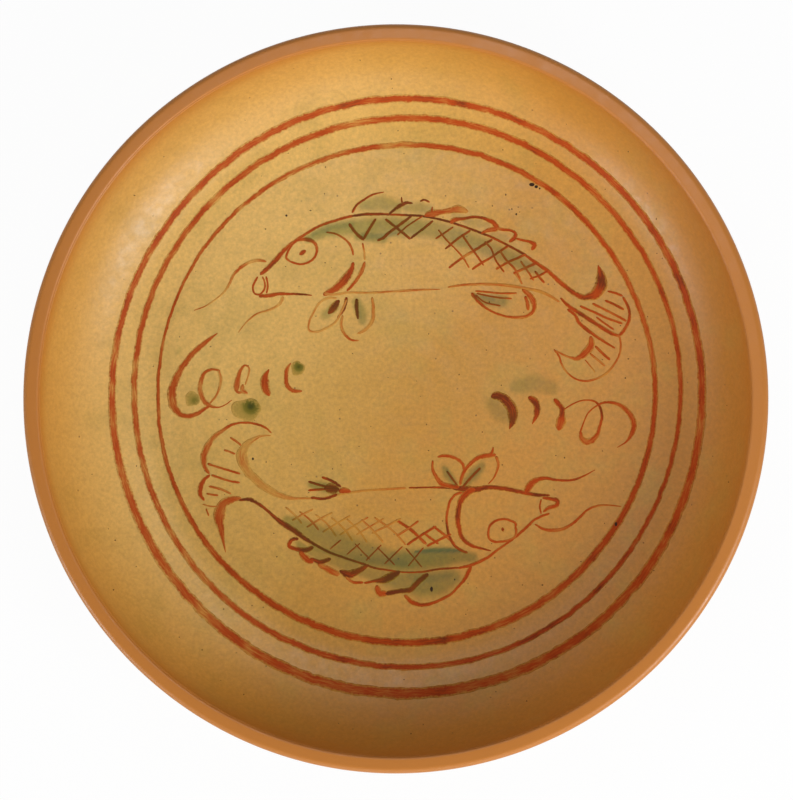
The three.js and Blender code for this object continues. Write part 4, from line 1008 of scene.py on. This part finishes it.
def bare_stoneware(name):
    """Unglazed iron-bearing stoneware, turned on the wheel: dry, gritty, with toasted patches."""
    material, tree = new_material(name)
    place = add(tree, "TexCoord").outputs["Object"]
    toast = add(tree, "TexNoise", {"Vector": place, "Scale": 1 / 0.03, "Detail": 5.0})
    darker_share = add(tree, "MapRange", {"Value": toast.outputs[0], "From Min": 0.35, "From Max": 0.65})
    colour = add(tree, "Mix", {0: darker_share.outputs[0], 6: linear("#9C7A56"), 7: linear("#85522F")},
                 data_type="RGBA")
    sand = add(tree, "TexNoise", {"Vector": place, "Scale": 1 / 0.0008, "Detail": 3.0})
    gritty = add(tree, "MapRange", {"Value": sand.outputs[0], "From Min": 0.3, "From Max": 0.7,
                                    "To Min": 0.75, "To Max": 1.15})
    colour = add(tree, "Mix", {0: 1.0, 6: colour.outputs[2], 7: gritty.outputs[0]},
                 data_type="RGBA", blend_type="MULTIPLY")
    bump = add(tree, "Bump", {"Height": sand.outputs[0], "Distance": 0.0002, "Strength": 1.0})
    shader = add(tree, "BsdfPrincipled", {"Base Color": colour.outputs[2], "Roughness": 0.85,
                                          "Normal": bump.outputs[0]})
    add(tree, "OutputMaterial", {"Surface": shader.outputs[0]})
    return material


def burnt_iron(name):
    """Iron oxide that bled through the glaze: near black, and nearly dull."""
    material, tree = new_material(name)
    place = add(tree, "TexCoord").outputs["Object"]
    grain = add(tree, "TexNoise", {"Vector": place, "Scale": 1 / 0.0007, "Detail": 2.0})
    colour = add(tree, "Mix", {0: grain.outputs[0], 6: linear("#120A04"), 7: linear("#3E240C")},
                 data_type="RGBA")
    shader = add(tree, "BsdfPrincipled", {"Base Color": colour.outputs[2], "Roughness": 0.6,
                                          "Specular IOR Level": 0.15})
    add(tree, "OutputMaterial", {"Surface": shader.outputs[0]})
    return material


# The dish

glaze_material = satin_glaze("satin_ochre_glaze")
red_material = brushed_enamel("iron_red_enamel", "#C87C34", "#B23C08", "#621E08")
green_material = brushed_enamel("copper_green_enamel", "#8C7C30", "#66611A", "#2C3A0A")
clay_material = bare_stoneware("bare_stoneware")
iron_material = burnt_iron("burnt_iron_specks")


def place_piece(piece, material, slot, *nodes):
    piece.data.materials.append(material)
    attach(piece, "root")
    if nodes:
        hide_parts(*nodes)


place_piece(clay_piece("turned_clay_body"), clay_material, "clay", "thrown_body")
place_piece(foot_piece("turned_foot_ring"), clay_material, "clay", "foot_ring")
place_piece(inside_piece("inside_glaze_coat"), glaze_material, "ochre_glaze", "inner_glaze")
lip_coat = coat_piece("lip_glaze_coat", lip_profile(), lip_profile(glaze_thickness))
place_piece(lip_coat, glaze_material, "browned_glaze", "lip_glaze")
outside_coat = coat_piece("outside_glaze_coat", outside_profile(), outside_profile(glaze_thickness))
place_piece(outside_coat, glaze_material, "ochre_glaze", "outer_glaze")

for seed, (node, (centre, radius, widths)) in enumerate(BANDS.items()):
    band = painted_band("painted_" + node, centre, radius, widths, 31 + 7 * seed)
    place_piece(band, red_material, "iron_red", node)

FIGURES = {
    "upper_fish": UPPER_FISH,
    "upper_fish_pupil": UPPER_FISH_PUPIL,
    "lower_fish": LOWER_FISH,
    "lower_fish_pupil": LOWER_FISH_PUPIL,
    "left_weed_curl": LEFT_WEED_CURL,
    "left_weed_leaf_1": LEFT_WEED_LEAF_1,
    "left_weed_leaf_2": LEFT_WEED_LEAF_2,
    "left_weed_leaf_3": LEFT_WEED_LEAF_3,
    "right_weed_leaf_1": RIGHT_WEED_LEAF_1,
    "right_weed_leaf_2": RIGHT_WEED_LEAF_2,
    "right_weed_curl": RIGHT_WEED_CURL,
}
for seed, (node, strokes) in enumerate(FIGURES.items()):
    place_piece(painted("painted_" + node, strokes, 100 + 1000 * seed), red_material, "iron_red", node)
for node, dot in GREEN_DOTS.items():
    place_piece(patch("painted_" + node, *dot), green_material, "copper_green", node)
place_piece(speck_field("iron_specks"), iron_material, "browned_glaze")

# Camera: above the dish, leaning a little to the right, as far off as a standing photographer's lens
lean = math.radians(6.035)
camera_distance = 1.3
aim = np.array([0.0023, -0.00046, rim_top * MM])
picture_height = 800
focal_pixels = 3254.7
right = np.array([math.cos(lean), 0, -math.sin(lean)])
back = np.array([math.sin(lean), 0, math.cos(lean)])
eye = aim + camera_distance * back
lens = bpy.data.cameras.new("camera")
lens.lens = focal_pixels * lens.sensor_width / picture_height
camera = bpy.data.objects.new("camera", lens)
stand = np.column_stack([right, [0, 1, 0], back, eye])
camera.matrix_world = Matrix([[*row] for row in np.vstack([stand, [0, 0, 0, 1]])])
bpy.context.scene.collection.objects.link(camera)
bpy.context.scene.camera = camera


# Light: soft boxes low at the foot of the picture, a small one above the dish's far side, and a pale room


def soft_box(name, azimuth, tilt, distance, size, watts):
    """A square lamp towards a compass angle, tilted down from straight above, that faces the dish."""
    a, t = math.radians(azimuth), math.radians(tilt)
    toward = np.array([math.cos(a) * math.sin(t), math.sin(a) * math.sin(t), math.cos(t)])
    side = np.array([-math.sin(a), math.cos(a), 0])
    lamp = bpy.data.lights.new(name, "AREA")
    lamp.energy = watts
    lamp.size = size
    box = bpy.data.objects.new(name, lamp)
    columns = [side, np.cross(toward, side), toward, toward * distance]
    box.matrix_world = Matrix([[*row] for row in np.vstack([np.column_stack(columns), [0, 0, 0, 1]])])
    bpy.context.scene.collection.objects.link(box)


soft_box("soft_box_right", -40, 58, 1.2, 0.45, 9.6)
soft_box("soft_box_left", -148, 68, 1.2, 0.45, 5.4)
soft_box("wide_soft_box_below", -90, 74, 1.3, 0.9, 3.6)
soft_box("small_soft_box_above", 82, 22, 0.55, 0.3, 0.76)


def seen_share(tree):
    """1 for a ray that the eye, glass or a gloss sends out, and 0 for one that carries light."""
    rays = add(tree, "LightPath")
    direct = add(tree, "Math", {0: rays.outputs["Is Camera Ray"], 1: rays.outputs["Is Transmission Ray"]},
                 operation="ADD")
    return add(tree, "Math", {0: direct.outputs[0], 1: rays.outputs["Is Glossy Ray"]},
               operation="ADD", use_clamp=True)


room_light = 0.05
table_glow = 0.96
world = bpy.data.worlds.new("pale_room")
bpy.context.scene.world = world
world.use_nodes = True
world.node_tree.nodes.clear()
tree = world.node_tree
level = add(tree, "MapRange", {"Value": seen_share(tree).outputs[0], "To Min": room_light, "To Max": 1.0})
sky = add(tree, "Background", {"Color": linear("#FFFFFF"), "Strength": level.outputs[0]})
add(tree, "OutputWorld", {"Surface": sky.outputs[0]})


def pale_floor():
    """A white table, a disc of 3 m, that keeps a soft shadow of the dish."""
    angle = np.arange(64) * TURN / 64
    points = np.stack([3000 * np.cos(angle), 3000 * np.sin(angle), np.zeros(64)], axis=-1)
    floor = make_piece("pale_floor", points, [list(range(64))])
    material, tree = new_material("white_table")
    share = add(tree, "Math", {0: seen_share(tree).outputs[0], 1: table_glow}, operation="MULTIPLY")
    matt = add(tree, "BsdfDiffuse", {"Color": linear("#F4F4F4")})
    glow = add(tree, "Emission", {"Color": linear("#FFFFFF"), "Strength": 1.0})
    both = add(tree, "MixShader", {0: share.outputs[0], 1: matt.outputs[0], 2: glow.outputs[0]})
    add(tree, "OutputMaterial", {"Surface": both.outputs[0]})
    floor.data.materials.append(material)


pale_floor()
bpy.context.scene.view_settings.view_transform = "Standard"
